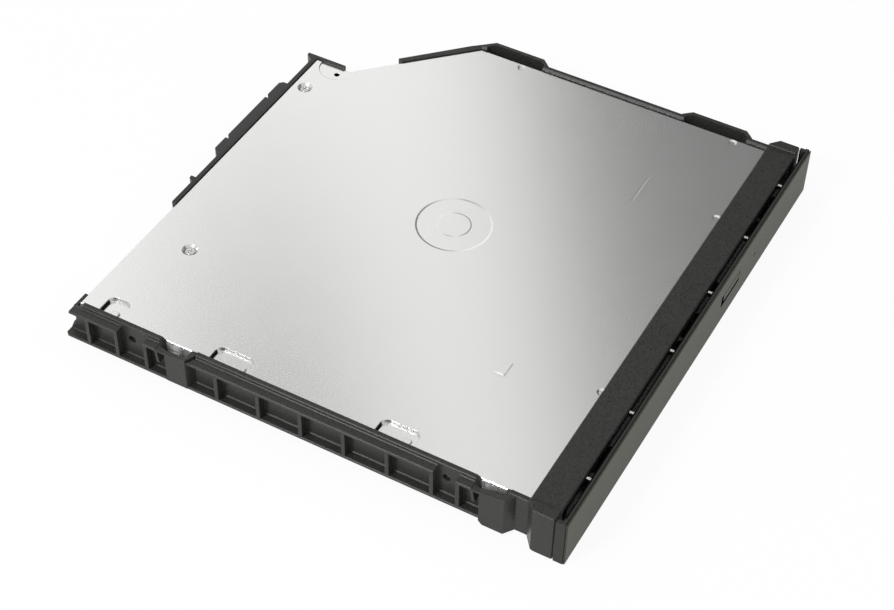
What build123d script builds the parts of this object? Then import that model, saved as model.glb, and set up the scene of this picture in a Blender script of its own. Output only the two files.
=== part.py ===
from build123d import *
import math
import os

# Slim tray-load DVD drive in a laptop bay caddy, in millimetres
# Pieces are drawn on the drive's own datum: x from the middle of its width, y rearwards from the
# line where the front bar ends on the lid, z up from the drive's underside.

os.makedirs("parts", exist_ok=True)

# Disc
DISC_RADIUS = 60.0
SPINDLE_X = 1.5
SPINDLE_Y = DISC_RADIUS - 5.7

# Drive envelope
HALF = DISC_RADIUS + 4.0
DRIVE_HEIGHT = 9.5
CASE_FRONT = -6.6
CASE_REAR = SPINDLE_Y + DISC_RADIUS + 1.3
CORNER_SUM = HALF + CASE_REAR - 35.2
NOTCH_X = HALF - 25.2
LID_SHEET = 0.5
CASE_SHEET = 0.6
SEAT_GAP = 0.05
CASE_INNER = HALF - CASE_SHEET

# Heights above the underside
LID_UNDER = DRIVE_HEIGHT - LID_SHEET
TRAY_RIM = LID_UNDER - 1.3
TRAY_FLOOR = TRAY_RIM - 2.4
SMALL_WELL_FLOOR = TRAY_FLOOR - 0.4
TRAY_UNDER = TRAY_FLOOR - 1.0
DISC_SEAT = TRAY_FLOOR + 0.8
PLATE_UNDER = TRAY_UNDER - 2.4
PLATE_TOP = PLATE_UNDER + 0.8
COVER_PLATE_UNDER = PLATE_UNDER - 0.85
COVER_PLATE_TOP = COVER_PLATE_UNDER + 0.3

# Caddy frame
FRAME_INNER = HALF + SEAT_GAP
FRAME_OUTER = HALF + 3.6
FRAME_TOP = DRIVE_HEIGHT + 0.85
RAIL_WEB = 1.2
WEB_OUT = FRAME_INNER + RAIL_WEB
RAIL_BOTTOM = 0.8
RAIL_FRONT_BOTTOM = -0.8
RAIL_REAR = CASE_REAR + 0.65
LOWER_TIP = RAIL_REAR + 1.85
FLANGE = 0.6
FLANGE_TOP = FRAME_TOP - 0.95
FLANGE_OUT = FRAME_OUTER - 0.1
COVE = 0.25
EDGE = 0.22
RIB = 0.9
RIB_PITCH = 10.95
RIB_COUNT = 6
FIRST_RIB_Y = 21.9
BAR_FRONT = -7.4
POST_REAR = -2.2
POST_TOP = FRAME_TOP + 0.85
FRONT_BLOCK = (4.4, 10.3)
FRONT_BLOCK_WALL = 1.6
REAR_BLOCK = (CASE_REAR - 31.1, CASE_REAR - 25.4)
REAR_BLOCK_WALL = 1.15
BLOCK_SILL = 5.6
SIDE_HOLE_Z = 6.4
SIDE_HOLES_Y = (19.3, CASE_REAR - 15.1)
SIDE_HOLE_RADIUS = 0.8
PIN_RADIUS = 0.9
FRAME_PINS = ((-1, CASE_REAR - 28.1, 4.2), (-1, 7.4, 4.2), (1, CASE_REAR - 44.6, 4.2), (1, 14.2, 4.2))
BUMPS = ((CASE_REAR - 35.6, CASE_REAR - 54.0), (23.6, 4.5))
BUMP_RAMP = 2.2
RIGHT_RAIL_OUT = FRAME_INNER + 1.6
RIGHT_EDGE = 0.45

# Bezel
BEZEL_HALF = FRAME_OUTER + 0.1
BEZEL_BOTTOM = -1.9
BEZEL_TOP = POST_TOP + 0.1
BEZEL_FACE = BAR_FRONT - 3.0
BEZEL_WALL = 1.4
BEZEL_BACK = BEZEL_FACE + BEZEL_WALL
BEZEL_RETURN = BAR_FRONT - 0.25
PIN_PITCH = 21.25
BUTTON_X = 18.5
BUTTON_Z = 5.3
BUTTON_WIDTH = 10.4
BUTTON_HEIGHT = 2.8
BUTTON_GAP = 0.2
BUTTON_TRAVEL = 0.6
LIGHT_X = 33.3
LIGHT_Z = 4.4
LIGHT_RADIUS = 0.6

# Telescopic rails, measured outwards from the drive's middle
GUIDE_BASE = 0.5
GUIDE_MOUTH_OUT = CASE_INNER - 1.5
GUIDE_MOUTH_IN = GUIDE_MOUTH_OUT - 0.4
TRAY_HALF = GUIDE_MOUTH_IN - 0.3
TRAY_MOUTH_IN = TRAY_HALF - 0.4
TRAY_CHANNEL_WEB_OUT = TRAY_MOUTH_IN - 1.0
TRAY_CHANNEL_WEB_IN = TRAY_CHANNEL_WEB_OUT - 1.0
RUN_GAP = 0.15
CHANNEL_LOW = TRAY_UNDER - 2.9
CHANNEL_HIGH = TRAY_UNDER - 0.4
NECK_LOW = CHANNEL_LOW + 0.9
NECK_HIGH = CHANNEL_LOW + 1.6
GUIDE_FRONT = -5.0
RAIL_FRONT = -4.0
LEFT_GUIDE_END = CASE_REAR - 3.6
RIGHT_GUIDE_END = CASE_REAR - 37.1
LEFT_RAIL_END = CASE_REAR - 9.6
RIGHT_RAIL_END = CASE_REAR - 38.1
LEFT_CHANNEL_END = CASE_REAR - 23.6
RIGHT_CHANNEL_END = CASE_REAR - 36.6

# Tray
WELL_RADIUS = DISC_RADIUS + 0.6
TRAY_RADIUS = WELL_RADIUS + 0.6
SMALL_WELL_RADIUS = 40.5
TRAY_FRONT = -7.2
TRAY_WALL = 1.0
TRAY_REAR = CASE_REAR - 1.3
LOWER_WALL_REAR = CASE_REAR - 33.6
CLIPS_X = (-46.0, 0.0, 46.0)
CLIP_Z = CHANNEL_HIGH + 2.3
STEM_LOW = 3.2
STEM_HIGH = 4.1
SWITCH_FRONT = -5.9

# Traverse unit, along and across its own diagonal
TRAVERSE_ANGLE = -45.0
LENS_REST = 23.0
SHAFT_RADIUS = 1.1
SHAFT_Z = PLATE_UNDER + 1.2
SHAFT_START = 12.0
SHAFT_END = DISC_RADIUS + 6.0
MAIN_SHAFT_V = -12.8
SUB_SHAFT_V = 12.3
SCREW_V = -18.0
SCREW_RADIUS = 1.1
SCREW_JOURNAL = 0.6
SCREW_START = 9.4
SCREW_END = DISC_RADIUS - 8.5
NUT_REAR = -7.3
NUT_FRONT = -12.9
MOTOR_RADIUS = 2.6
MOTOR_LENGTH = 7.5
RUNNING_FIT = 0.04
OPENING_RADIUS = 17.5
OPENING_HALF = 15.3
OPENING_END = DISC_RADIUS + 9.0
CHASSIS_END = DISC_RADIUS + 11.8
DAMPERS = ((-14.0, -17.0), (-14.0, 15.5), (DISC_RADIUS - 12.0, 17.6))
DAMPER_RADIUS = 2.3
HUB_RADIUS = 7.4
ROTOR_RADIUS = 13.2

# Boards and cable
BOARD_UNDER = 1.5
BOARD_TOP = 2.3
BOARD_FRONT = CASE_REAR - 29.6
BOARD_REAR = CASE_REAR - 1.0
BOARD_LEFT = -HALF + 5.8
BOARD_RIGHT = NOTCH_X - 4.8
BOARD_STANDS = ((BOARD_LEFT + 3.2, BOARD_FRONT + 4.0), (BOARD_LEFT + 3.2, BOARD_REAR - 3.1),
                (-8.0, BOARD_FRONT + 4.0), (BOARD_RIGHT - 3.0, BOARD_FRONT + 8.0))
CONNECTOR_LEFT = -2.5
CONNECTOR_RIGHT = 25.0
FLEX_LEFT = -36.0
FLEX_RIGHT = -23.0
FLEX = 0.12
FLEX_BEND_Y = 26.0
TRAY_SOCKET_Y = LOWER_WALL_REAR - 10.0

# Latch
POST_X = -HALF + 20.0
POST_Y = 5.0
POST_RADIUS = 1.0
LEVER_X = POST_X + 3.6
LEVER_Y = -2.0
PIVOT_RADIUS = 0.75
LEVER_LOW = BOARD_UNDER
LEVER_HIGH = BOARD_TOP

# Dock side
BRACKET_FRONT = CASE_REAR + SEAT_GAP
BRACKET_REAR = BRACKET_FRONT + 1.1
BRACKET_LEFT = -25.6
BRACKET_SCREWS_X = (-20.5, NOTCH_X - 5.3)
BRACKET_SCREW_Z = 6.6
REAR_REACH = CASE_REAR + 4.0
DOCK_LEFT = -3.9
DOCK_RIGHT = 27.4
DOCK_TOP = DRIVE_HEIGHT - 0.9
DOCK_BOTTOM = 1.0
CONTACT_PITCH = 1.27
CONTACT_COUNT = 18

# Library frame: middle of the whole part in plan, lowest point at zero
TO_ORIGIN = Pos(0, -(BEZEL_FACE + REAR_REACH) / 2, -BEZEL_BOTTOM)
TRAVERSE = Pos(SPINDLE_X, SPINDLE_Y, 0) * Rot(0, 0, TRAVERSE_ANGLE)
SPINDLE = Pos(SPINDLE_X, SPINDLE_Y, 0)
SLED = TRAVERSE * Pos(LENS_REST, 0, 0)


def block(x0, x1, y0, y1, z0, z1):
    """Box between two corners."""
    return Pos((x0 + x1) / 2, (y0 + y1) / 2, (z0 + z1) / 2) * Box(x1 - x0, y1 - y0, z1 - z0)


def round_bar(x, y, radius, z0, z1):
    """Upright cylinder between two heights."""
    return Pos(x, y, (z0 + z1) / 2) * Cylinder(radius, z1 - z0)


def cone(x, y, radius_low, radius_high, z0, z1):
    """Upright cone frustum between two heights."""
    return Pos(x, y, (z0 + z1) / 2) * Cone(radius_low, radius_high, z1 - z0)


def prism(points, z0, z1):
    """Upright prism over a closed outline."""
    return extrude(Pos(0, 0, z0) * make_face(Polyline(*points, close=True)), amount=z1 - z0)


def along_y(points, y0, y1):
    """Section given in x and z, run from y0 to y1."""
    face = Plane.XZ.offset(-y0) * make_face(Polyline(*points, close=True))
    return extrude(face, amount=y0 - y1)


def along_x(points, x0, x1):
    """Section given in y and z, run from x0 to x1."""
    face = Plane.YZ.offset(x0) * make_face(Polyline(*points, close=True))
    return extrude(face, amount=x1 - x0)


def bar_x(y, z, radius, x0, x1):
    """Cylinder lying along x."""
    return Pos((x0 + x1) / 2, y, z) * Rot(0, 90, 0) * Cylinder(radius, x1 - x0)


def bar_y(x, z, radius, y0, y1):
    """Cylinder lying along y."""
    return Pos(x, (y0 + y1) / 2, z) * Rot(90, 0, 0) * Cylinder(radius, y1 - y0)


def rounded_plate(x0, x1, y0, y1, z0, z1, radius):
    """Flat plate with rounded corners."""
    face = Pos((x0 + x1) / 2, (y0 + y1) / 2, z0) * RectangleRounded(x1 - x0, y1 - y0, radius)
    return extrude(face, amount=z1 - z0)


def mirrored(shape):
    """The same shape on the other side of the drive."""
    return mirror(shape, about=Plane.YZ)


def drive_outline(inset=0.0, front=CASE_FRONT):
    """Plan of the drive with its cut rear right corner."""
    rear = CASE_REAR - inset
    right = HALF - inset
    notch = NOTCH_X - inset
    corner = CORNER_SUM - inset * math.sqrt(2)
    return [
        (-right, front), (right, front), (right, corner - right),
        (notch, corner - notch), (notch, rear), (-right, rear),
    ]


# Stamped case

POCKETS = ((CASE_REAR - 40.05, 9.7, 4.5), (33.15, 9.3, 4.3), (CASE_REAR - 8.0, 5.4, 5.3))
POCKET_FLOOR = DRIVE_HEIGHT - 0.95
POCKET_SHEET = 0.4
POCKET_CORNER = 1.6
POCKET_SLOPE = 14.0
POCKET_NOTCH = POCKET_SHEET + SEAT_GAP + 0.3
DIMPLES = ((HALF - 36.6, CASE_REAR - 3.4), (-HALF + 26.9, CASE_REAR - 11.9))
DIMPLE_RADIUS = 1.9
DIMPLE_FLOOR = DRIVE_HEIGHT - 0.8
BOSS_RADIUS = 1.1
SKIRT_BOTTOM = LID_UNDER - 1.6
HUB_RELIEF_RADIUS = 9.3
HUB_RELIEF_DEPTH = 0.06
HUB_BOSS_RADIUS = 4.0
PRESS_MARKS = ((35.0, 0.9), (-29.4, 0.3), (HALF - 1.4, SPINDLE_Y + 13.5), (HALF - 1.4, 8.4))
CREASES = ((30.1, 40.2, 21.0, 21.3), (-35.8, -31.4, 20.9, 21.15), (-36.0, -35.75, 20.9, 23.9))
BEADS = ((-40.0, 20.0, 12.0, 30.0), (-14.0, 44.0, 40.0, 58.0),
         (-40.0, 24.0, CASE_REAR - 23.6, CASE_REAR - 9.6))
WALL_WINDOWS = ((REAR_BLOCK[1] - 1.6, REAR_BLOCK[1] + 1.1), (REAR_BLOCK[0] + 0.5, REAR_BLOCK[0] + 3.2),
                (FRONT_BLOCK[1] - 1.6, FRONT_BLOCK[1] + 0.7), (FRONT_BLOCK[1] - 4.8, FRONT_BLOCK[1] - 2.5))


def pocket_plan(length, depth, grow):
    """Plan of a tab pocket, open at the drive's left side."""
    reach = depth + grow
    width = length + 2 * grow
    face = Pos(reach / 2, 0) * Rectangle(reach, width)
    inner = face.vertices().sort_by(Axis.X)[-2:]
    return fillet(inner, POCKET_CORNER + grow)


def top_cover():
    """Lid with its skirt, tab pockets, screw dimples and spindle relief."""
    lid = prism(drive_outline(), LID_UNDER, DRIVE_HEIGHT)
    lid = chamfer(lid.edges().group_by(Axis.Z)[-1], 0.25)
    skirt_out = CASE_SHEET + SEAT_GAP
    skirt = prism(drive_outline(skirt_out), SKIRT_BOTTOM, LID_UNDER)
    skirt -= prism(drive_outline(skirt_out + 0.4, CASE_FRONT - 1), SKIRT_BOTTOM, LID_UNDER)
    lid += skirt
    left_of_lid = block(-HALF - 5, -HALF, CASE_FRONT, CASE_REAR, 0, DRIVE_HEIGHT)
    for y, length, depth in POCKETS:
        at = Pos(-HALF, y, POCKET_FLOOR - POCKET_SHEET)
        cup_height = LID_UNDER - POCKET_FLOOR + POCKET_SHEET
        cup = extrude(at * pocket_plan(length, depth, POCKET_SHEET), amount=cup_height, taper=-POCKET_SLOPE)
        lid += cup - left_of_lid
        at = Pos(-HALF, y, POCKET_FLOOR)
        hollow_depth = DRIVE_HEIGHT - POCKET_FLOOR
        lid -= extrude(at * pocket_plan(length, depth, 0), amount=hollow_depth, taper=-POCKET_SLOPE)
        tab_y = y - length / 2 + 1.2
        lid += block(-HALF + 0.6, -HALF + 2.2, tab_y, tab_y + 1.6, POCKET_FLOOR, POCKET_FLOOR + 0.45)
    for x, y in DIMPLES:
        lid += cone(x, y, DIMPLE_RADIUS - 0.3, DIMPLE_RADIUS + 0.3, DIMPLE_FLOOR - 0.4, LID_UNDER)
        lid -= cone(x, y, 1.25, DIMPLE_RADIUS, DIMPLE_FLOOR, DRIVE_HEIGHT)
        lid -= round_bar(x, y, 0.8, DIMPLE_FLOOR - 0.4, DIMPLE_FLOOR)
    relief_floor = DRIVE_HEIGHT - HUB_RELIEF_DEPTH
    relief = cone(0, 0, HUB_RELIEF_RADIUS - 0.4, HUB_RELIEF_RADIUS, relief_floor, DRIVE_HEIGHT)
    relief -= cone(0, 0, HUB_BOSS_RADIUS + 0.2, HUB_BOSS_RADIUS, relief_floor, DRIVE_HEIGHT - 0.02)
    lid -= SPINDLE * relief
    lid -= round_bar(NOTCH_X - 0.3, CASE_REAR - 6.6, 4.9, DRIVE_HEIGHT - 0.3, DRIVE_HEIGHT)
    lid -= round_bar(NOTCH_X - 2.6, CASE_REAR - 7.6, 0.7, LID_UNDER, DRIVE_HEIGHT)
    for x, y in PRESS_MARKS:
        lid -= cone(x, y, 0.7, 1.1, DRIVE_HEIGHT - 0.3, DRIVE_HEIGHT)
    for x0, x1, y0, y1 in CREASES:
        lid -= block(x0, x1, y0, y1, DRIVE_HEIGHT - 0.06, DRIVE_HEIGHT)
    return lid


def bottom_case():
    """Pan with folded walls, screw bosses, board standoffs and pressed beads."""
    pan = prism(drive_outline(), 0, LID_UNDER)
    pan -= prism(drive_outline(CASE_SHEET, CASE_FRONT - 1), CASE_SHEET, LID_UNDER)
    notch_low = POCKET_FLOOR - POCKET_SHEET - SEAT_GAP
    for y, length, _ in POCKETS:
        notch = length / 2 + POCKET_NOTCH
        pan -= block(-HALF, -CASE_INNER, y - notch, y + notch, notch_low, LID_UNDER)
    for x, y in DIMPLES:
        pan += round_bar(x, y, BOSS_RADIUS, CASE_SHEET, DIMPLE_FLOOR - 0.45)
        pan -= round_bar(x, y, 0.72, DIMPLE_FLOOR - 4.7, DIMPLE_FLOOR)
    for x, y in BOARD_STANDS:
        pan += round_bar(x, y, 1.6, CASE_SHEET, BOARD_UNDER)
    pan -= block(CONNECTOR_LEFT - 0.3, CONNECTOR_RIGHT + 0.3, CASE_REAR - CASE_SHEET, CASE_REAR,
                 DOCK_BOTTOM - 0.1, BOARD_TOP + 2.0)
    for y in SIDE_HOLES_Y:
        pan -= bar_x(y, SIDE_HOLE_Z, SIDE_HOLE_RADIUS, -HALF, -CASE_INNER)
    for side, y, z in FRAME_PINS:
        pan -= bar_x(y, z, PIN_RADIUS + SEAT_GAP, side * HALF - CASE_SHEET, side * HALF + CASE_SHEET)
    for y0, y1 in WALL_WINDOWS:
        pan -= block(-HALF, -HALF + 0.25, y0, y1, BLOCK_SILL + 0.6, LID_UNDER - 0.5)
    for x in BRACKET_SCREWS_X:
        pan -= bar_y(x, BRACKET_SCREW_Z, 0.75, CASE_REAR - CASE_SHEET, CASE_REAR)
    for x0, x1, y0, y1 in BEADS:
        pan -= rounded_plate(x0, x1, y0, y1, 0, 0.2, 2.0)
    pan -= round_bar(POST_X, POST_Y, 0.8, 0, CASE_SHEET)
    return pan


# Caddy

def web(y0, y1, low, high):
    """Stretch of the left rail's plain web, its outer top edge broken."""
    section = [(-WEB_OUT, low), (-FRAME_INNER, low), (-FRAME_INNER, high), (-WEB_OUT + EDGE, high),
               (-WEB_OUT, high - EDGE)]
    return along_y(section, y0, y1)


def flange(y0, y1):
    """Top flange over a stretch of the left rail, coved where it meets the web."""
    under = FLANGE_TOP - FLANGE
    section = [(-WEB_OUT + 0.3, under), (-FLANGE_OUT, under), (-FLANGE_OUT, FLANGE_TOP - EDGE),
               (-FLANGE_OUT + EDGE, FLANGE_TOP), (-WEB_OUT - COVE, FLANGE_TOP), (-WEB_OUT, FLANGE_TOP + COVE),
               (-WEB_OUT + 0.3, FLANGE_TOP + COVE)]
    return along_y(section, y0, y1)


def turned_end(y, block_rear):
    """Front end of a top flange and its web, turned down beside a block."""
    low = BLOCK_SILL
    strip = [(y, FLANGE_TOP), (y - 0.6, FLANGE_TOP - 0.4), (y - 0.9, BLOCK_SILL + 1.2),
             (y - 1.2, low), (y - 0.4, low), (y, FLANGE_TOP - FLANGE)]
    cheek = [(y, FRAME_TOP), (y - 0.6, FRAME_TOP - 0.4), (y - 0.9, BLOCK_SILL + 1.6),
             (y - 1.2, low), (y, low)]
    lip = prism([(-FLANGE_OUT, y), (-FLANGE_OUT, block_rear - 0.3), (-FRAME_OUTER + 1.2, block_rear - 0.3),
                 (-WEB_OUT - 0.6, y)], FLANGE_TOP - FLANGE, FLANGE_TOP - 0.2)
    return along_x(strip, -FLANGE_OUT, -WEB_OUT + 0.3) + along_x(cheek, -WEB_OUT, -FRAME_INNER) + lip


def rib(y):
    """Upright rib between the rail's flanges."""
    return block(-FLANGE_OUT + 0.15, -WEB_OUT, y - RIB / 2, y + RIB / 2, RAIL_BOTTOM + FLANGE,
                 FLANGE_TOP - FLANGE)


def rear_block():
    """Hollow block that steps out of the left rail towards its rear."""
    front, rear = REAR_BLOCK
    wall = -FRAME_OUTER + REAR_BLOCK_WALL
    plan = [(-FRAME_INNER, front - 1.1), (-WEB_OUT, front - 1.1), (-FRAME_OUTER, front),
            (-FRAME_OUTER, rear - 0.3), (-FRAME_OUTER + 0.3, rear), (-FRAME_INNER, rear)]
    body = prism(plan, RAIL_BOTTOM, FRAME_TOP)
    body &= along_x([(front - 2, RAIL_BOTTOM), (rear, RAIL_BOTTOM), (rear, FLANGE_TOP - 0.2),
                     (front - 2, FRAME_TOP - 0.2)], -FRAME_OUTER, -FRAME_INNER)
    return body - block(wall, -FRAME_INNER, front + 0.2, rear, BLOCK_SILL, FRAME_TOP)


def front_block():
    """Hollow block beside the front bar, lower than the rail and sloped at its foot."""
    front, rear = FRONT_BLOCK
    back = rear + 0.4
    wall = -FRAME_OUTER + FRONT_BLOCK_WALL
    plan = [(-FRAME_INNER, front - 1.7), (-WEB_OUT, front - 1.7), (-FRAME_OUTER, front), (-FRAME_OUTER, rear),
            (-WEB_OUT, back), (-FRAME_INNER, back)]
    body = prism(plan, RAIL_FRONT_BOTTOM, FRAME_TOP)
    body &= along_x([(front - 3, RAIL_FRONT_BOTTOM), (rear - 0.9, RAIL_FRONT_BOTTOM), (back, RAIL_BOTTOM - 0.2),
                     (back, FLANGE_TOP - 0.2), (front, FRAME_TOP - 0.2), (front - 3, FRAME_TOP - 0.1)],
                    -FRAME_OUTER, -FRAME_INNER)
    return body - block(wall, -FRAME_INNER, front + 0.9, rear + 0.4, BLOCK_SILL, FRAME_TOP)


def rail_tail():
    """Open rear end of the left rail: slanted web, longer lower flange and a finger behind the drive."""
    low = RAIL_BOTTOM + FLANGE
    slant = [(RAIL_REAR - 2.2, FLANGE_TOP - FLANGE), (RAIL_REAR - 0.9, BLOCK_SILL + 0.5),
             (RAIL_REAR + 0.8, low + 2.5), (LOWER_TIP, low), (LOWER_TIP, RAIL_BOTTOM),
             (RAIL_REAR - 2.2, RAIL_BOTTOM)]
    tail = along_x(slant, -WEB_OUT, -FRAME_INNER)
    plan = [(-WEB_OUT, RAIL_REAR - 2.2), (-FLANGE_OUT, RAIL_REAR - 2.2), (-FLANGE_OUT, LOWER_TIP - 0.6),
            (-FLANGE_OUT + 0.5, LOWER_TIP), (-HALF + 0.9, LOWER_TIP), (-HALF + 0.9, BRACKET_FRONT),
            (-FRAME_INNER, BRACKET_FRONT)]
    tail += prism(plan, RAIL_BOTTOM, low)
    finger = [(-WEB_OUT, RAIL_BOTTOM), (-HALF + 0.9, RAIL_BOTTOM), (-HALF + 0.9, FLANGE_TOP - 2.6),
              (-HALF + 1.3, FLANGE_TOP - 1.5), (-HALF + 3.1, FLANGE_TOP - 1.0), (-HALF + 3.3, FLANGE_TOP - 0.3),
              (-HALF + 3.1, FLANGE_TOP), (-WEB_OUT, FLANGE_TOP)]
    return tail + along_y(finger, BRACKET_FRONT, RAIL_REAR + 0.1)


def left_rail():
    """Ribbed rail on the drive's left side."""
    front, rear = REAR_BLOCK
    turn_rear = rear + 2.5
    turn_front = FRONT_BLOCK[1] + 2.15
    rail = web(BAR_FRONT, FRONT_BLOCK[0], RAIL_FRONT_BOTTOM, FRAME_TOP)
    rail += web(FRONT_BLOCK[0], turn_front, RAIL_FRONT_BOTTOM, BLOCK_SILL)
    rail += web(turn_front, front - 1.4, RAIL_BOTTOM, FRAME_TOP)
    rail += web(front - 1.4, turn_rear, RAIL_BOTTOM, BLOCK_SILL)
    rail += web(turn_rear, RAIL_REAR - 2.2, RAIL_BOTTOM, FRAME_TOP)
    rail -= block(-WEB_OUT, -FRAME_INNER, FRONT_BLOCK[1] + 0.4, turn_front, RAIL_FRONT_BOTTOM, RAIL_BOTTOM)
    shelf = RAIL_BOTTOM + FLANGE
    section = [(-WEB_OUT + 0.3, RAIL_BOTTOM), (-FLANGE_OUT, RAIL_BOTTOM), (-FLANGE_OUT, shelf - EDGE),
               (-FLANGE_OUT + EDGE, shelf), (-WEB_OUT - COVE, shelf), (-WEB_OUT, shelf + COVE),
               (-WEB_OUT + 0.3, shelf + COVE)]
    rail += along_y(section, FRONT_BLOCK[1], LOWER_TIP - 0.7)
    rail += flange(turn_front, SIDE_HOLES_Y[0] - 3.25)
    rail += flange(FIRST_RIB_Y - RIB / 2, front - 1.5)
    rail += flange(turn_rear, rear + 5.8)
    rail += flange(SIDE_HOLES_Y[1] + 2.6, RAIL_REAR)
    rail += prism([(-WEB_OUT, front - 1.6), (-FLANGE_OUT, front - 1.6), (-FLANGE_OUT, front - 0.3)],
                  FLANGE_TOP - FLANGE, FLANGE_TOP)
    rail += turned_end(turn_front, FRONT_BLOCK[1]) + turned_end(turn_rear, rear)
    for index in range(RIB_COUNT):
        rail += rib(FIRST_RIB_Y + index * RIB_PITCH)
    for y in (rear + 5.35, SIDE_HOLES_Y[1] + 3.05, SIDE_HOLES_Y[1] + 11.0, SIDE_HOLES_Y[0] - 3.7):
        rail += rib(y)
    rail += rear_block() + front_block()
    for y in SIDE_HOLES_Y:
        rail -= bar_x(y, SIDE_HOLE_Z, SIDE_HOLE_RADIUS + 0.2, -FRAME_OUTER, -HALF)
    return rail + rail_tail()


def right_rail():
    """Plain rail on the right side with two open bumps and a strip along the cut corner."""
    out = RIGHT_RAIL_OUT
    gap = SEAT_GAP * math.sqrt(2)
    near = CORNER_SUM + gap - FRAME_INNER
    end_x = NOTCH_X + 9.9
    thin = math.sqrt(2)
    section = [(FRAME_INNER, RAIL_BOTTOM), (out, RAIL_BOTTOM), (out, FRAME_TOP - EDGE), (out - EDGE, FRAME_TOP),
               (FRAME_INNER + RIGHT_EDGE, FRAME_TOP), (FRAME_INNER, FRAME_TOP - RIGHT_EDGE)]
    rail = along_y(section, BAR_FRONT, near)
    strip = [
        (FRAME_INNER, near - 0.5), (out, near - 0.5), (out, near + 0.4), (out - 2.2, near + 2.9),
        (end_x + 0.6, CORNER_SUM + thin - end_x), (end_x, CORNER_SUM + gap - end_x), (FRAME_INNER, near),
    ]
    rail += prism(strip, RAIL_BOTTOM, FRAME_TOP - RIGHT_EDGE)
    for rear, front in BUMPS:
        ramp_front = front + BUMP_RAMP
        ramp_rear = rear - BUMP_RAMP
        outline = [(out - 0.5, front), (out, front), (FRAME_OUTER, ramp_front), (FRAME_OUTER, ramp_rear),
                   (out, rear), (out - 0.5, rear)]
        rail += prism(outline, RAIL_BOTTOM, FRAME_TOP)
        hollow = [(FRAME_INNER, front + 1.0), (out - 0.2, front + 1.0), (FRAME_OUTER - 0.9, ramp_front + 0.5),
                  (FRAME_OUTER - 0.9, ramp_rear - 0.5), (out - 0.2, rear - 1.0), (FRAME_INNER, rear - 1.0)]
        rail -= prism(hollow, BLOCK_SILL, FRAME_TOP)
    return rail


def corner_post(side):
    """Block that ends the front bar, as tall as the bezel."""
    inner = side * (FRAME_INNER + 0.6)
    outer = side * FRAME_OUTER
    heel = POST_REAR + 2.0
    plan = [(inner, BAR_FRONT), (outer - side * 0.3, BAR_FRONT), (outer, BAR_FRONT + 0.3),
            (outer, POST_REAR), (outer - side * 2.3, heel), (inner, heel)]
    if side < 0:
        plan.reverse()
    post = prism(plan, BEZEL_BOTTOM, POST_TOP)
    post = chamfer(post.edges().group_by(Axis.Z)[-1], 0.2)
    foot = [(heel, RAIL_FRONT_BOTTOM), (POST_REAR - 0.7, BEZEL_BOTTOM), (heel, BEZEL_BOTTOM)]
    return post - along_x(foot, min(inner, outer), max(inner, outer))


def caddy_frame():
    """Front bar, corner posts and both side rails in one moulding."""
    frame = left_rail() + right_rail()
    bar = [(BAR_FRONT + 0.25, DRIVE_HEIGHT), (BAR_FRONT, DRIVE_HEIGHT + 0.3), (BAR_FRONT, FRAME_TOP - 0.25),
           (BAR_FRONT + 0.25, FRAME_TOP), (-0.2, FRAME_TOP), (0, FRAME_TOP - 0.2), (0, DRIVE_HEIGHT)]
    frame += along_x(bar, -WEB_OUT, FRAME_INNER + 1.0)
    frame += corner_post(-1) + corner_post(1)
    for side, y, z in FRAME_PINS:
        frame += bar_x(y, z, PIN_RADIUS, side * FRAME_INNER - 0.5, side * FRAME_INNER + 0.5)
    return frame


def rear_bracket():
    """Strip behind the drive that carries the dock connector, with two locating hooks."""
    side = NOTCH_X + SEAT_GAP
    top = DRIVE_HEIGHT + 0.3
    strip = block(BRACKET_LEFT, side + 1.0, BRACKET_FRONT, BRACKET_REAR, RAIL_BOTTOM, top)
    strip += block(side, side + 1.0, CASE_REAR - 8.1, BRACKET_FRONT, RAIL_BOTTOM, top)
    for x, high in ((side - 1.2, top), (BRACKET_LEFT + 8.7, top - 0.9)):
        tip = BRACKET_REAR + 1.9
        hook = [(x, BRACKET_REAR), (x + 2.2, BRACKET_REAR), (x + 2.2, tip), (x + 1.4, tip)]
        strip += prism(hook, RAIL_BOTTOM, high)
    strip -= block(DOCK_LEFT - SEAT_GAP, DOCK_RIGHT + SEAT_GAP, BRACKET_FRONT, BRACKET_REAR,
                   DOCK_BOTTOM - SEAT_GAP, DOCK_TOP + SEAT_GAP)
    for x in BRACKET_SCREWS_X:
        strip -= bar_y(x, BRACKET_SCREW_Z, 0.85, BRACKET_FRONT, BRACKET_REAR)
    return strip


def dock_housing():
    """Docking plug housing with a shroud round its contact tongue."""
    mid = (DOCK_BOTTOM + DOCK_TOP) / 2
    body = block(DOCK_LEFT, DOCK_RIGHT, BRACKET_FRONT, REAR_REACH, DOCK_BOTTOM, DOCK_TOP)
    body = chamfer(body.edges().filter_by(Axis.Z).sort_by(Axis.Y)[-2:], 0.9)
    body -= block(DOCK_LEFT + 1.6, DOCK_RIGHT - 1.6, BRACKET_FRONT + 1.0, REAR_REACH, DOCK_BOTTOM + 1.4,
                  DOCK_TOP - 1.4)
    body += block(DOCK_LEFT + 3.2, DOCK_RIGHT - 3.2, BRACKET_FRONT + 1.0, REAR_REACH - 0.6,
                  mid - 0.7, mid + 0.7)
    for x in (DOCK_LEFT + 5.6, DOCK_RIGHT - 7.4):
        body -= block(x, x + 1.2, REAR_REACH - 0.9, REAR_REACH, DOCK_TOP - 1.4, DOCK_TOP)
    return body


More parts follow.
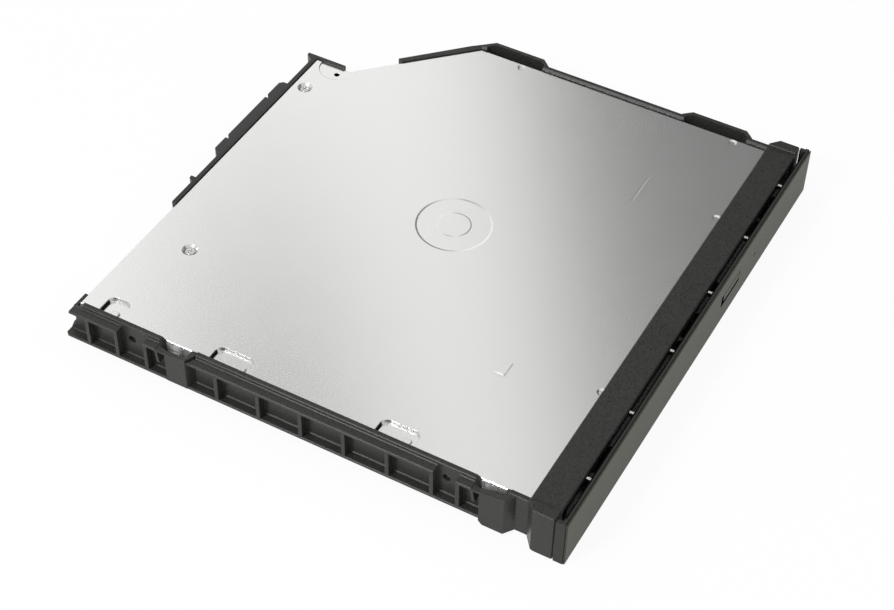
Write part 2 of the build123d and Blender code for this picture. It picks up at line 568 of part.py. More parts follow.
def dock_contacts():
    """Row of contact strips under the housing's tongue."""
    first = (DOCK_LEFT + DOCK_RIGHT) / 2 - CONTACT_PITCH * (CONTACT_COUNT - 1) / 2
    tongue_under = (DOCK_BOTTOM + DOCK_TOP) / 2 - 0.7
    strips = []
    for index in range(CONTACT_COUNT):
        x = first + index * CONTACT_PITCH
        strips.append(block(x - 0.3, x + 0.3, BRACKET_FRONT + 1.2, REAR_REACH - 0.9,
                            tongue_under - 0.2, tongue_under))
    return strips


def cover_screws():
    """Small flat-headed screws down through the lid's dimples."""
    top = DIMPLE_FLOOR + 0.4
    screws = []
    for x, y in DIMPLES:
        screw = round_bar(x, y, 1.15, DIMPLE_FLOOR, top)
        screw += round_bar(x, y, 0.7, DIMPLE_FLOOR - 3.7, DIMPLE_FLOOR)
        screw -= block(x - 0.6, x + 0.6, y - 0.14, y + 0.14, top - 0.25, top)
        screw -= block(x - 0.14, x + 0.14, y - 0.6, y + 0.6, top - 0.25, top)
        screws.append(screw)
    return screws


def bracket_screws():
    """Screws from behind, through the rear bracket into the case."""
    screws = []
    for x in BRACKET_SCREWS_X:
        screw = bar_y(x, BRACKET_SCREW_Z, 1.6, BRACKET_REAR, BRACKET_REAR + 0.7)
        screw += bar_y(x, BRACKET_SCREW_Z, 0.7, BRACKET_REAR - 2.0, BRACKET_REAR)
        for width, height in ((1.4, 0.35), (0.35, 1.4)):
            screw -= Pos(x, BRACKET_REAR + 0.5, BRACKET_SCREW_Z) * Box(width, 0.5, height)
        screws.append(screw)
    return screws


# Telescopic rails

def guide(end):
    """Fixed channel on the left wall, its mouth facing the tray."""
    low = CASE_SHEET
    high = CHANNEL_HIGH + 0.6
    section = [
        (-CASE_INNER, low), (-GUIDE_MOUTH_IN, low), (-GUIDE_MOUTH_IN, NECK_LOW - RUN_GAP),
        (-GUIDE_MOUTH_OUT, NECK_LOW - RUN_GAP), (-GUIDE_MOUTH_OUT, CHANNEL_LOW),
        (-CASE_INNER + GUIDE_BASE, CHANNEL_LOW), (-CASE_INNER + GUIDE_BASE, CHANNEL_HIGH),
        (-GUIDE_MOUTH_OUT, CHANNEL_HIGH), (-GUIDE_MOUTH_OUT, NECK_HIGH + RUN_GAP),
        (-GUIDE_MOUTH_IN, NECK_HIGH + RUN_GAP), (-GUIDE_MOUTH_IN, high), (-CASE_INNER, high),
    ]
    return along_y(section, GUIDE_FRONT, end)


def left_guide():
    """Guide along the left wall's whole length."""
    return guide(LEFT_GUIDE_END)


def right_guide():
    """Shorter guide that ends before the cut corner."""
    return mirrored(guide(RIGHT_GUIDE_END))


def slide_rail(end):
    """Left telescopic rail: two heads joined by a neck."""
    outer = CASE_INNER - GUIDE_BASE - RUN_GAP
    outer_in = GUIDE_MOUTH_OUT + RUN_GAP
    inner_out = TRAY_MOUTH_IN - RUN_GAP
    inner = TRAY_CHANNEL_WEB_OUT + RUN_GAP
    low = CHANNEL_LOW + RUN_GAP
    high = CHANNEL_HIGH - RUN_GAP
    section = [
        (-outer, low), (-outer_in, low), (-outer_in, NECK_LOW), (-inner_out, NECK_LOW),
        (-inner_out, low), (-inner, low), (-inner, high), (-inner_out, high),
        (-inner_out, NECK_HIGH), (-outer_in, NECK_HIGH), (-outer_in, high), (-outer, high),
    ]
    rail = along_y(section, RAIL_FRONT, end)
    middle = (outer_in + inner_out) / 2
    for y in (RAIL_FRONT + 12, end - 12):
        rail -= rounded_plate(-middle - 0.35, -middle + 0.35, y - 3, y + 3, NECK_LOW, NECK_HIGH, 0.34)
    return rail


def left_slide_rail():
    """Long slide rail on the left."""
    return slide_rail(LEFT_RAIL_END)


def right_slide_rail():
    """Shorter slide rail on the right."""
    return mirrored(slide_rail(RIGHT_RAIL_END))


def tray_channel(end):
    """Left running channel under the tray's edge, its mouth facing the guide."""
    low = CHANNEL_LOW - 0.5
    high = TRAY_UNDER + 0.1
    section = [
        (-TRAY_HALF, low), (-TRAY_CHANNEL_WEB_IN, low), (-TRAY_CHANNEL_WEB_IN, high),
        (-TRAY_HALF, high), (-TRAY_HALF, NECK_HIGH + RUN_GAP),
        (-TRAY_MOUTH_IN, NECK_HIGH + RUN_GAP), (-TRAY_MOUTH_IN, CHANNEL_HIGH),
        (-TRAY_CHANNEL_WEB_OUT, CHANNEL_HIGH), (-TRAY_CHANNEL_WEB_OUT, CHANNEL_LOW),
        (-TRAY_MOUTH_IN, CHANNEL_LOW), (-TRAY_MOUTH_IN, NECK_LOW - RUN_GAP), (-TRAY_HALF, NECK_LOW - RUN_GAP),
    ]
    return along_y(section, TRAY_FRONT + TRAY_WALL, end)


# Tray

PLATE_SCREWS = ((SPINDLE_X - 14.5, 8.0), (TRAY_HALF - 8.2, 40.0), (SPINDLE_X - 14.5, LOWER_WALL_REAR - 5.0),
                (TRAY_HALF - 31.2, LOWER_WALL_REAR - 5.0))


def tray_plan(z0, z1):
    """Tray outline: square at the front, round at the rear, with an arm down each side."""
    body = round_bar(SPINDLE_X, SPINDLE_Y, TRAY_RADIUS, z0, z1)
    body &= block(-TRAY_HALF, TRAY_HALF, TRAY_FRONT, TRAY_REAR, z0, z1)
    body += block(-TRAY_HALF, TRAY_HALF, TRAY_FRONT, SPINDLE_Y, z0, z1)
    body += block(-TRAY_HALF, -TRAY_HALF + 11.2, SPINDLE_Y, LEFT_CHANNEL_END, z0, z1)
    body += block(TRAY_HALF - 11.2, TRAY_HALF, SPINDLE_Y, RIGHT_CHANNEL_END, z0, z1)
    return body


def traverse_opening(z0, z1):
    """Opening in the disc well over the turntable and the sled's path."""
    hole = round_bar(0, 0, OPENING_RADIUS, z0, z1)
    taper = [(0, -OPENING_HALF), (OPENING_END - 5, -OPENING_HALF), (OPENING_END, -9.5), (OPENING_END, 8.5),
             (OPENING_END - 6, OPENING_HALF), (0, OPENING_HALF)]
    return TRAVERSE * (hole + prism(taper, z0, z1))


def lower_walls():
    """Stiffening walls under the tray, with ways through for the latch post and the flat cable."""
    rear = LOWER_WALL_REAR
    walls = block(-TRAY_CHANNEL_WEB_IN, TRAY_CHANNEL_WEB_IN, rear - TRAY_WALL, rear, PLATE_UNDER, TRAY_UNDER)
    for left, right in ((POST_X - 2.6, POST_X + 2.6), (FLEX_LEFT - 0.6, FLEX_RIGHT + 0.6)):
        walls -= block(left, right, rear - TRAY_WALL, rear, PLATE_UNDER, TRAY_UNDER - 0.9)
    for x in (POST_X - 3.0, POST_X + 3.0):
        walls += block(x - 0.4, x + 0.4, FLEX_BEND_Y - 2, rear, PLATE_UNDER, TRAY_UNDER)
    for y in (rear + 12, rear + 17):
        walls += block(SPINDLE_X - 31.5, SPINDLE_X + 20.5, y, y + 0.8, TRAY_UNDER - 0.2, TRAY_UNDER)
    return walls


def tray():
    """Drawer with the disc wells on top and stiffening walls underneath."""
    body = tray_plan(TRAY_UNDER, TRAY_RIM)
    body -= cone(SPINDLE_X, SPINDLE_Y, WELL_RADIUS - 0.5, WELL_RADIUS, TRAY_FLOOR, TRAY_RIM)
    body -= round_bar(SPINDLE_X, SPINDLE_Y, SMALL_WELL_RADIUS, SMALL_WELL_FLOOR, TRAY_FLOOR)
    body -= traverse_opening(TRAY_UNDER, TRAY_RIM)
    wall_rear = TRAY_FRONT + TRAY_WALL
    body += block(-TRAY_HALF, TRAY_HALF, TRAY_FRONT, wall_rear, CHANNEL_LOW - 0.5, TRAY_RIM)
    body += tray_channel(LEFT_CHANNEL_END)
    body += mirrored(tray_channel(RIGHT_CHANNEL_END))
    body += lower_walls()
    for x in CLIPS_X:
        body -= block(x - 2.2, x + 2.2, TRAY_FRONT, TRAY_FRONT + 2.2, CLIP_Z - 0.6, CLIP_Z + 0.7)
    body -= block(BUTTON_X - 2.4, BUTTON_X + 2.4, TRAY_FRONT, wall_rear, STEM_LOW - 0.3, TRAY_UNDER)
    body -= block(LIGHT_X - 0.9, LIGHT_X + 0.9, TRAY_FRONT, wall_rear, 2.6, LIGHT_Z + 0.9)
    for u, v in DAMPERS:
        body -= TRAVERSE * round_bar(u, v, 0.75, TRAY_UNDER, TRAY_UNDER + 0.55)
    body += round_bar(LEVER_X, LEVER_Y, 1.7, LEVER_HIGH + SEAT_GAP, TRAY_UNDER)
    body -= round_bar(LEVER_X, LEVER_Y, PIVOT_RADIUS, LEVER_HIGH + SEAT_GAP, TRAY_UNDER + 0.5)
    for x, y in PLATE_SCREWS:
        body += round_bar(x, y, 1.6, COVER_PLATE_TOP, TRAY_UNDER)
        body -= round_bar(x, y, 0.6, COVER_PLATE_TOP, TRAY_UNDER)
    return body


def cover_plate():
    """Thin steel plate that closes the tray under the traverse unit."""
    left = SPINDLE_X - 17.5
    right = TRAY_CHANNEL_WEB_IN - 1.3
    rear = LOWER_WALL_REAR - 1.5
    points = [(left, 1.5), (left + 6, -4.5), (right - 5.5, -4.5), (right, 1), (right, rear - 20.5),
              (right - 21.5, rear), (left, rear)]
    plate = prism(points, COVER_PLATE_UNDER, COVER_PLATE_TOP)
    for x, y in PLATE_SCREWS:
        plate -= round_bar(x, y, 0.75, COVER_PLATE_UNDER, COVER_PLATE_TOP)
    for u, v in DAMPERS:
        plate -= TRAVERSE * round_bar(u, v, 2.0, COVER_PLATE_UNDER, COVER_PLATE_TOP)
    plate -= TRAVERSE * rounded_plate(20, DISC_RADIUS, -7.5, 7.5, COVER_PLATE_UNDER, COVER_PLATE_TOP, 4)
    plate -= SPINDLE * round_bar(0, 0, 8, COVER_PLATE_UNDER, COVER_PLATE_TOP)
    return plate


def plate_screws():
    """Small screws that hold the cover plate from below."""
    screws = []
    for x, y in PLATE_SCREWS:
        screw = round_bar(x, y, 1.2, COVER_PLATE_UNDER - 0.25, COVER_PLATE_UNDER)
        screw += round_bar(x, y, 0.55, COVER_PLATE_UNDER, TRAY_UNDER - 0.7)
        screws.append(screw)
    return screws


def tray_bezel():
    """Front panel with a grooved rim, side returns, clips and short ribs over the gap."""
    face = [(BEZEL_BACK, BEZEL_BOTTOM), (BEZEL_BACK, BEZEL_TOP), (BEZEL_FACE + 0.55, BEZEL_TOP),
            (BEZEL_FACE + 0.5, BEZEL_TOP - 0.25), (BEZEL_FACE + 0.3, BEZEL_TOP - 0.25),
            (BEZEL_FACE + 0.25, BEZEL_TOP - 0.02), (BEZEL_FACE, BEZEL_TOP - 0.3),
            (BEZEL_FACE, BEZEL_BOTTOM + 0.3), (BEZEL_FACE + 0.3, BEZEL_BOTTOM)]
    panel = along_x(face, -BEZEL_HALF, BEZEL_HALF)
    for side in (-1, 1):
        outer = side * BEZEL_HALF
        corner = [(outer, BEZEL_FACE + 0.25), (outer - side * 0.25, BEZEL_FACE), (outer, BEZEL_FACE)]
        groove = [(outer, BEZEL_FACE + 0.5), (outer - side * 0.2, BEZEL_FACE + 0.45),
                  (outer - side * 0.2, BEZEL_FACE + 0.3), (outer, BEZEL_FACE + 0.25)]
        for points in (corner, groove):
            panel -= prism(points if side > 0 else points[::-1], BEZEL_BOTTOM, BEZEL_TOP)
        inner = outer - side * 1.0
        panel += block(min(inner, outer), max(inner, outer), BEZEL_BACK, BEZEL_RETURN, BEZEL_BOTTOM,
                       BEZEL_TOP - 0.3)
    for step in (-5, -3, -1, 1, 3, 5):
        x = step * PIN_PITCH / 2
        panel += block(x - 0.3, x + 0.3, BEZEL_BACK, BEZEL_RETURN, DRIVE_HEIGHT - 0.7, DRIVE_HEIGHT + 0.5)
    clip_rear = TRAY_FRONT + TRAY_WALL + 0.1
    for x in CLIPS_X:
        panel += block(x - 2, x + 2, BEZEL_BACK, clip_rear + 0.1, CLIP_Z - 0.4, CLIP_Z + 0.3)
        panel += block(x - 2, x + 2, clip_rear, TRAY_FRONT + 2.0, CLIP_Z - 0.4, CLIP_Z + 0.6)
        for stop in (x - 5, x + 5):
            panel += block(stop - 0.5, stop + 0.5, BEZEL_BACK, TRAY_FRONT - SEAT_GAP, CHANNEL_LOW + 0.6,
                           TRAY_RIM - 0.4)
    half_w = BUTTON_WIDTH / 2 + BUTTON_GAP
    half_h = BUTTON_HEIGHT / 2 + BUTTON_GAP
    panel -= block(BUTTON_X - half_w, BUTTON_X + half_w, BEZEL_FACE, BEZEL_BACK, BUTTON_Z - half_h,
                   BUTTON_Z + half_h)
    panel -= bar_y(LIGHT_X, LIGHT_Z, LIGHT_RADIUS, BEZEL_FACE, BEZEL_BACK)
    return panel


def eject_button():
    """Push button with a flange behind the bezel and a stem down to the switch."""
    half_w = BUTTON_WIDTH / 2
    half_h = BUTTON_HEIGHT / 2
    cap = block(BUTTON_X - half_w, BUTTON_X + half_w, BEZEL_FACE, BEZEL_BACK + BUTTON_GAP, BUTTON_Z - half_h,
                BUTTON_Z + half_h)
    cap = fillet(cap.edges().filter_by(Axis.Y), 0.35)
    cap = chamfer(cap.edges().group_by(Axis.Y)[0], 0.15)
    cap += block(BUTTON_X - half_w - 0.5, BUTTON_X + half_w + 0.5, BEZEL_BACK + 0.05, BEZEL_BACK + 0.55,
                 BUTTON_Z - half_h - 0.4, BUTTON_Z + half_h + 0.4)
    stem = block(BUTTON_X - 1.8, BUTTON_X + 1.8, BEZEL_BACK + 0.5, SWITCH_FRONT - BUTTON_TRAVEL - 0.1,
                 STEM_LOW, STEM_HIGH)
    return cap + stem


def light_pipe():
    """Clear pipe that brings the busy light to the bezel's face."""
    return bar_y(LIGHT_X, LIGHT_Z, LIGHT_RADIUS - 0.12, BEZEL_FACE + 0.1, BEZEL_FACE + 2.7)


# Boards

CHIPS = ((-20.0, -15.6, 14.0, 14.0, 1.2), (2.0, -16.6, 9.0, 9.0, 1.0), (18.0, -19.6, 8.0, 5.0, 1.0),
         (BOARD_LEFT + 8.2, -17.6, 6.0, 4.0, 1.0), (BOARD_LEFT + 9.7, -9.6, 7.0, 7.0, 1.3),
         (BOARD_RIGHT - 3.5, -15.6, 4.0, 3.0, 0.9))


def main_board():
    """L-shaped board behind the tray's lower walls."""
    step_y = BOARD_REAR - 6.1
    notch_y = BOARD_REAR - 15.1
    step_x = BOARD_RIGHT - 8.5
    left = DIMPLES[1][0] - 3.4
    right = DIMPLES[1][0] + 3.6
    points = [(BOARD_LEFT, BOARD_FRONT), (BOARD_RIGHT, BOARD_FRONT), (BOARD_RIGHT, step_y), (step_x, step_y),
              (step_x, BOARD_REAR), (right, BOARD_REAR), (right, notch_y), (left, notch_y), (left, BOARD_REAR),
              (BOARD_LEFT, BOARD_REAR)]
    board = prism(points, BOARD_UNDER, BOARD_TOP)
    for x, y in BOARD_STANDS:
        board -= round_bar(x, y, 0.9, BOARD_UNDER, BOARD_TOP)
    return board


def board_chips():
    """Packages on the main board, placed from the case's rear."""
    chips = []
    for x, from_rear, width, depth, height in CHIPS:
        chip = Pos(x, CASE_REAR + from_rear, BOARD_TOP + height / 2) * Box(width, depth, height)
        chips.append(chamfer(chip.edges().group_by(Axis.Z)[-1], 0.2))
    return chips


def drive_connector():
    """Receptacle at the drive's rear that the dock plug board meets."""
    top = BOARD_TOP + 1.8
    body = block(CONNECTOR_LEFT, CONNECTOR_RIGHT, CASE_REAR - 6.6, CASE_REAR, BOARD_TOP, top)
    body += block(CONNECTOR_LEFT, CONNECTOR_RIGHT, CASE_REAR - 0.9, CASE_REAR, DOCK_BOTTOM, BOARD_TOP)
    body -= block(CONNECTOR_LEFT + 1.5, CONNECTOR_RIGHT - 1.5, CASE_REAR - 2.5, CASE_REAR, top - 1.6, top - 0.7)
    return body


def flex_connector():
    """Flat cable socket at the board's front edge."""
    front = BOARD_FRONT + 0.6
    body = block(FLEX_LEFT - 1.2, FLEX_RIGHT + 1.2, front, front + 2.8, BOARD_TOP, BOARD_TOP + 1.1)
    return body - block(FLEX_LEFT, FLEX_RIGHT, front, front + 1.2, BOARD_TOP + 0.3, BOARD_TOP + 0.6)


def flex_cable():
    """Flat cable, doubled back under the tray, from the board to the tray's socket."""
    low = CASE_SHEET + 0.05
    high = 1.2
    mid = (low + high + FLEX) / 2
    radius = (high + FLEX - low) / 2
    start = BOARD_FRONT + 1.6
    climb = BOARD_FRONT - 3.0
    socket = BOARD_TOP + 0.35
    lower = [(FLEX_BEND_Y, low), (climb, low), (start - 2.2, socket), (start, socket), (start, socket + FLEX),
             (start - 2.3, socket + FLEX), (climb - 0.1, low + FLEX), (FLEX_BEND_Y, low + FLEX)]
    cable = along_x(lower, FLEX_LEFT, FLEX_RIGHT)
    cable += block(FLEX_LEFT, FLEX_RIGHT, FLEX_BEND_Y, TRAY_SOCKET_Y, high, high + FLEX)
    bend = bar_x(FLEX_BEND_Y, mid, radius, FLEX_LEFT, FLEX_RIGHT)
    bend -= bar_x(FLEX_BEND_Y, mid, radius - FLEX, FLEX_LEFT, FLEX_RIGHT)
    bend &= block(FLEX_LEFT, FLEX_RIGHT, FLEX_BEND_Y - 1, FLEX_BEND_Y, 0, 2)
    return cable + bend


def tray_socket():
    """Flat cable socket under the tray."""
    return block(FLEX_LEFT - 1.0, FLEX_RIGHT + 1.0, TRAY_SOCKET_Y - 2.6, TRAY_SOCKET_Y + 0.6, 1.4, TRAY_UNDER)


def button_board():
    """Small board under the tray's front edge."""
    return rounded_plate(BUTTON_X - 10.5, LIGHT_X + 5.7, -6.1, -3.6, 1.6, 2.2, 0.5)


def eject_switch():
    """Side-push switch that the button's stem meets."""
    body = block(BUTTON_X - 2.6, BUTTON_X + 2.6, SWITCH_FRONT + 0.5, SWITCH_FRONT + 2.2, 2.2, STEM_HIGH)
    return body + block(BUTTON_X - 1.0, BUTTON_X + 1.0, SWITCH_FRONT, SWITCH_FRONT + 0.6, STEM_LOW + 0.1,
                        STEM_HIGH - 0.2)


def busy_light():
    """Lamp on the button board, in line with the light pipe."""
    body = block(LIGHT_X - 0.8, LIGHT_X + 0.8, -6.1, -4.9, 2.2, TRAY_UNDER - 0.1)
    return chamfer(body.edges().filter_by(Axis.Z), 0.25)


# Latch

def latch_post():
    """Fixed post riveted in the case's floor."""
    post = round_bar(POST_X, POST_Y, 0.8, 0.0, CASE_SHEET)
    return post + round_bar(POST_X, POST_Y, POST_RADIUS, CASE_SHEET, LEVER_HIGH + 0.6)


def latch_lever():
    """Hook that swings behind the fixed post, drawn clear of it."""
    nose_front = POST_Y + POST_RADIUS - LEVER_Y + 1.0
    nose_rear = nose_front + 1.4
    nose_tip = POST_X + POST_RADIUS - LEVER_X + 0.5
    arm = [(-1.3, -1.3), (1.3, -1.3), (1.3, 5.8), (4.2, 5.8), (4.2, 7.4), (1.3, 7.8), (1.3, nose_rear),
           (nose_tip + 0.4, nose_rear), (nose_tip, nose_front), (-0.3, nose_front), (-0.3, 2.0), (-1.3, 1.2)]
    lever = Pos(LEVER_X, LEVER_Y, 0) * prism(arm, LEVER_LOW, LEVER_HIGH)
    lever += round_bar(LEVER_X, LEVER_Y, 1.6, LEVER_LOW, LEVER_HIGH)
    return lever - round_bar(LEVER_X, LEVER_Y, PIVOT_RADIUS + RUNNING_FIT, LEVER_LOW, LEVER_HIGH)


def lever_pin():
    """Pivot pin of the latch lever, headed below."""
    pin = round_bar(LEVER_X, LEVER_Y, PIVOT_RADIUS, LEVER_LOW - 0.1, TRAY_UNDER + 0.5)
    return pin + round_bar(LEVER_X, LEVER_Y, 1.4, LEVER_LOW - 0.4, LEVER_LOW - 0.1)


def release_solenoid():
    """Magnet that pulls the lever's tail to free the tray."""
    left = LEVER_X + 4.4
    front = POST_Y + 5.5
    body = block(left, left + 9, front, front + 10, LEVER_LOW + 0.3, TRAY_UNDER)
    return body + bar_y(left + 4.5, LEVER_LOW + 1.5, 1.2, front - 1, front + 11)


# Traverse unit

def traverse_chassis():
    """Pressed plate with a turned-up edge, shaft blocks and a window for the sled."""
    end = CHASSIS_END
    outline = [(-19, -15), (-14, -21.5), (end - 11.8, -21.5), (end - 4.8, -14.5), (end, -8.5), (end, 7),
               (end - 5.8, 14), (end - 11.8, 20.3), (-14, 20.3), (-19, 14)]
    face = make_face(Polyline(*outline, close=True))
    plate = extrude(Pos(0, 0, PLATE_UNDER) * face, amount=SHAFT_Z + 0.8 - PLATE_UNDER)
    plate -= extrude(Pos(0, 0, PLATE_TOP) * offset(face, -0.7), amount=4)
    window = [(13.8, -15.0), (end - 8.8, -15.0), (end - 2.2, -8.8), (end - 2.2, 6.5), (end - 8.6, 14.2),
              (13.8, 14.2)]
    plate -= prism(window, 0, 5)
    plate -= round_bar(0, 0, 9.4, 0, 5)
    plate -= block(SCREW_START - 0.2, SCREW_END, SCREW_V - 2.0, SCREW_V + 1.6, 0, 5)
    motor_half = MOTOR_RADIUS + SEAT_GAP
    plate -= block(SCREW_END, SCREW_END + MOTOR_LENGTH + 0.35, SCREW_V - motor_half, SCREW_V + motor_half, 0, 5)
    for u in (SHAFT_START, SHAFT_END - 2.2):
        for v in (MAIN_SHAFT_V, SUB_SHAFT_V):
            plate += block(u, u + 1.6, v - 1.9, v + 1.9, PLATE_UNDER, SHAFT_Z + 0.9)
    for v in (MAIN_SHAFT_V, SUB_SHAFT_V):
        plate -= bar_x(v, SHAFT_Z, SHAFT_RADIUS, SHAFT_START - 1, SHAFT_END + 1)
    plate += block(SCREW_START - 1.4, SCREW_START - 0.2, SCREW_V - 1.9, SCREW_V + 1.9,
                   PLATE_UNDER, SHAFT_Z + 0.8)
    plate -= bar_x(SCREW_V, SHAFT_Z, SCREW_JOURNAL + RUNNING_FIT, SCREW_START - 2.4, SCREW_START)
    for u, v in DAMPERS:
        plate -= round_bar(u, v, DAMPER_RADIUS - 0.7, 0, 5)
        plate -= round_bar(u, v, DAMPER_RADIUS + 0.2, PLATE_TOP, 5)
    return TRAVERSE * plate


def dampers():
    """Rubber spools that float the chassis under the tray."""
    rings = []
    for u, v in DAMPERS:
        ring = round_bar(u, v, DAMPER_RADIUS, PLATE_UNDER - 0.4, PLATE_UNDER)
        ring += round_bar(u, v, DAMPER_RADIUS - 0.75, PLATE_UNDER, PLATE_TOP)
        ring += round_bar(u, v, DAMPER_RADIUS, PLATE_TOP, TRAY_UNDER)
        ring -= round_bar(u, v, 0.95, 0, TRAY_UNDER)
        rings.append(TRAVERSE * ring)
    return rings


def damper_screws():
    """Shoulder screws up through the dampers into the tray."""
    screws = []
    for u, v in DAMPERS:
        screw = round_bar(u, v, 1.7, COVER_PLATE_TOP - 0.2, PLATE_UNDER - 0.4)
        screw += round_bar(u, v, 0.9, PLATE_UNDER - 0.4, TRAY_UNDER)
        screw += round_bar(u, v, 0.72, TRAY_UNDER, TRAY_UNDER + 0.5)
        screws.append(TRAVERSE * screw)
    return screws


def spindle_base():
    """Motor base on the chassis, with the bearing sleeve."""
    base = round_bar(0, 0, 11.5, PLATE_TOP, PLATE_TOP + 0.3)
    base += round_bar(0, 0, 9.3, PLATE_UNDER, PLATE_TOP)
    base += round_bar(0, 0, 2.6, PLATE_UNDER, PLATE_TOP + 2.0)
    base -= round_bar(0, 0, 1.0 + RUNNING_FIT, PLATE_UNDER + 0.3, PLATE_TOP + 2.0)
    return SPINDLE * base


def spindle_stator():
    """Wound core with nine poles round the bearing sleeve."""
    mid = PLATE_TOP + 1.05
    core = round_bar(0, 0, 5.0, mid - 0.45, mid + 0.45)
    for index in range(9):
        tooth = block(4.5, 10.0, -0.9, 0.9, mid - 0.65, mid + 0.65)
        tooth += block(10.0, 10.9, -2.2, 2.2, mid - 0.35, mid + 0.35)
        core += Rot(0, 0, index * 40) * tooth
    core -= round_bar(0, 0, 2.65, PLATE_TOP, DISC_SEAT)
    return SPINDLE * core


def turntable():
    """Rotor cup with its shaft and the disc platform."""
    rim_under = PLATE_TOP + 0.6
    groove_floor = DISC_SEAT - 0.45
    cup = round_bar(0, 0, ROTOR_RADIUS, rim_under, DISC_SEAT - 0.2)
    cup -= round_bar(0, 0, ROTOR_RADIUS - 0.9, rim_under, DISC_SEAT - 1.0)
    cup -= round_bar(0, 0, 12.9, groove_floor, DISC_SEAT) - round_bar(0, 0, 10.4, groove_floor, DISC_SEAT)
    cup += round_bar(0, 0, 1.0, PLATE_UNDER + 0.4, DISC_SEAT - 0.9)
    cup += round_bar(0, 0, 4.0, DISC_SEAT - 0.2, DISC_SEAT + 1.2)
    return SPINDLE * cup


def friction_ring():
    """Rubber ring that carries the disc."""
    ring = round_bar(0, 0, 12.85, DISC_SEAT - 0.45, DISC_SEAT)
    return SPINDLE * (ring - round_bar(0, 0, 10.45, DISC_SEAT - 0.45, DISC_SEAT))


def centring_hub():
    """Hub for the disc's hole, with three sprung fingers that snap over its edge."""
    low = DISC_SEAT - 0.2
    top = DISC_SEAT + 1.6
    hub = round_bar(0, 0, HUB_RADIUS, low, top - 0.6)
    hub += cone(0, 0, HUB_RADIUS, HUB_RADIUS - 0.9, top - 0.6, top)
    hub -= round_bar(0, 0, 4.03, low, DISC_SEAT + 1.25)
    nose = [(HUB_RADIUS - 0.4, top - 0.7), (HUB_RADIUS + 0.35, top - 0.35), (HUB_RADIUS - 0.5, top - 0.1),
            (HUB_RADIUS - 1.2, top - 0.1)]
    for index in range(3):
        turn = Rot(0, 0, 30 + index * 120)
        for v in (-1.9, 1.9):
            hub -= turn * block(4.6, 8.5, v - 0.25, v + 0.25, low, top)
        hub += turn * along_y(nose, -1.4, 1.4)
    return SPINDLE * hub


def main_shaft():
    """Shaft that guides the sled."""
    return TRAVERSE * bar_x(MAIN_SHAFT_V, SHAFT_Z, SHAFT_RADIUS, SHAFT_START, SHAFT_END - 0.6)


def sub_shaft():
    """Second shaft, on the sled's other side."""
    return TRAVERSE * bar_x(SUB_SHAFT_V, SHAFT_Z, SHAFT_RADIUS, SHAFT_START, SHAFT_END - 0.6)


def lead_screw():
    """Screw that drives the sled, with its tip journals."""
    screw = bar_x(SCREW_V, SHAFT_Z, SCREW_RADIUS, SCREW_START, SCREW_END)
    screw += bar_x(SCREW_V, SHAFT_Z, SCREW_JOURNAL, SCREW_START - 1.2, SCREW_START)
    screw += bar_x(SCREW_V, SHAFT_Z, SCREW_JOURNAL, SCREW_END, SCREW_END + 3)
    return TRAVERSE * screw


def sled_motor():
    """Flat stepping motor at the screw's outer end."""
    start = SCREW_END + 0.3
    can = bar_x(SCREW_V, SHAFT_Z, MOTOR_RADIUS, start, start + MOTOR_LENGTH)
    can &= block(start, start + MOTOR_LENGTH, SCREW_V - 3, SCREW_V + 3, PLATE_UNDER, TRAY_UNDER - 0.1)
    can -= bar_x(SCREW_V, SHAFT_Z, SCREW_JOURNAL + RUNNING_FIT, start, start + 3.0)
    return TRAVERSE * can


def pickup_body():
    """Die-cast sled with bearings for the shafts and a well for the lens."""
    outline = [(-8.0, -9.5), (-5.6, -11.0), (9.0, -9.0), (9.0, 8.0), (4.0, 10.8), (-5.6, 11.0), (-8.0, 9.0)]
    under = PLATE_UNDER + 0.1
    top = SHAFT_Z + 1.6
    body = prism(outline, under, top)
    body -= round_bar(-LENS_REST, 0, ROTOR_RADIUS + 1.2, 0, 6)
    body += block(-5.6, 4.5, MAIN_SHAFT_V - 1.7, -9.8, SHAFT_Z - 1.5, SHAFT_Z + 1.5)
    body += block(-2.0, 3.0, 9.8, SUB_SHAFT_V + 1.6, SHAFT_Z - 1.5, SHAFT_Z + 1.5)
    for v in (MAIN_SHAFT_V, SUB_SHAFT_V):
        body -= bar_x(v, SHAFT_Z, SHAFT_RADIUS + RUNNING_FIT, -9, 9)
    body -= block(-2.5, 5.5, -13.2, -10.6, SHAFT_Z + 0.7, top)
    body -= block(-4.9, 4.9, -5.2, 5.2, under + 0.6, top)
    return SLED * body


def pickup_cover():
    """Thin cover round the lens on the sled."""
    low = SHAFT_Z + 1.6
    cover = rounded_plate(-5.6, 8.2, -8.2, 7.8, low, low + 0.25, 1.2)
    cover -= rounded_plate(-4.6, 4.6, -4.9, 4.9, low, low + 0.25, 0.8)
    return SLED * (cover - round_bar(-LENS_REST, 0, ROTOR_RADIUS + 1.6, low, low + 0.25))


def drive_nut():
    """Sprung half nut on the lead screw, with an arm along to the sled's bearing block."""
    low = PLATE_TOP + RUN_GAP
    high = SHAFT_Z + 1.0
    nut = block(NUT_FRONT, NUT_REAR, SCREW_V - 0.4, SCREW_V + 3.2, low, high)
    nut += block(NUT_REAR - 1.0, -3.0, MAIN_SHAFT_V - 2.4, MAIN_SHAFT_V - 1.7, low, high)
    nut -= bar_x(SCREW_V, SHAFT_Z, SCREW_RADIUS + RUNNING_FIT, NUT_FRONT, -3.0)
    return SLED * nut


def lens_magnets():
    """Pair of magnets on their yoke, beside the lens holder."""
    magnets = []
    for v in (-4.5, 4.5):
        magnets.append(SLED * Pos(0, v, SHAFT_Z + 0.4) * Box(5.0, 1.1, 1.8))
    return magnets


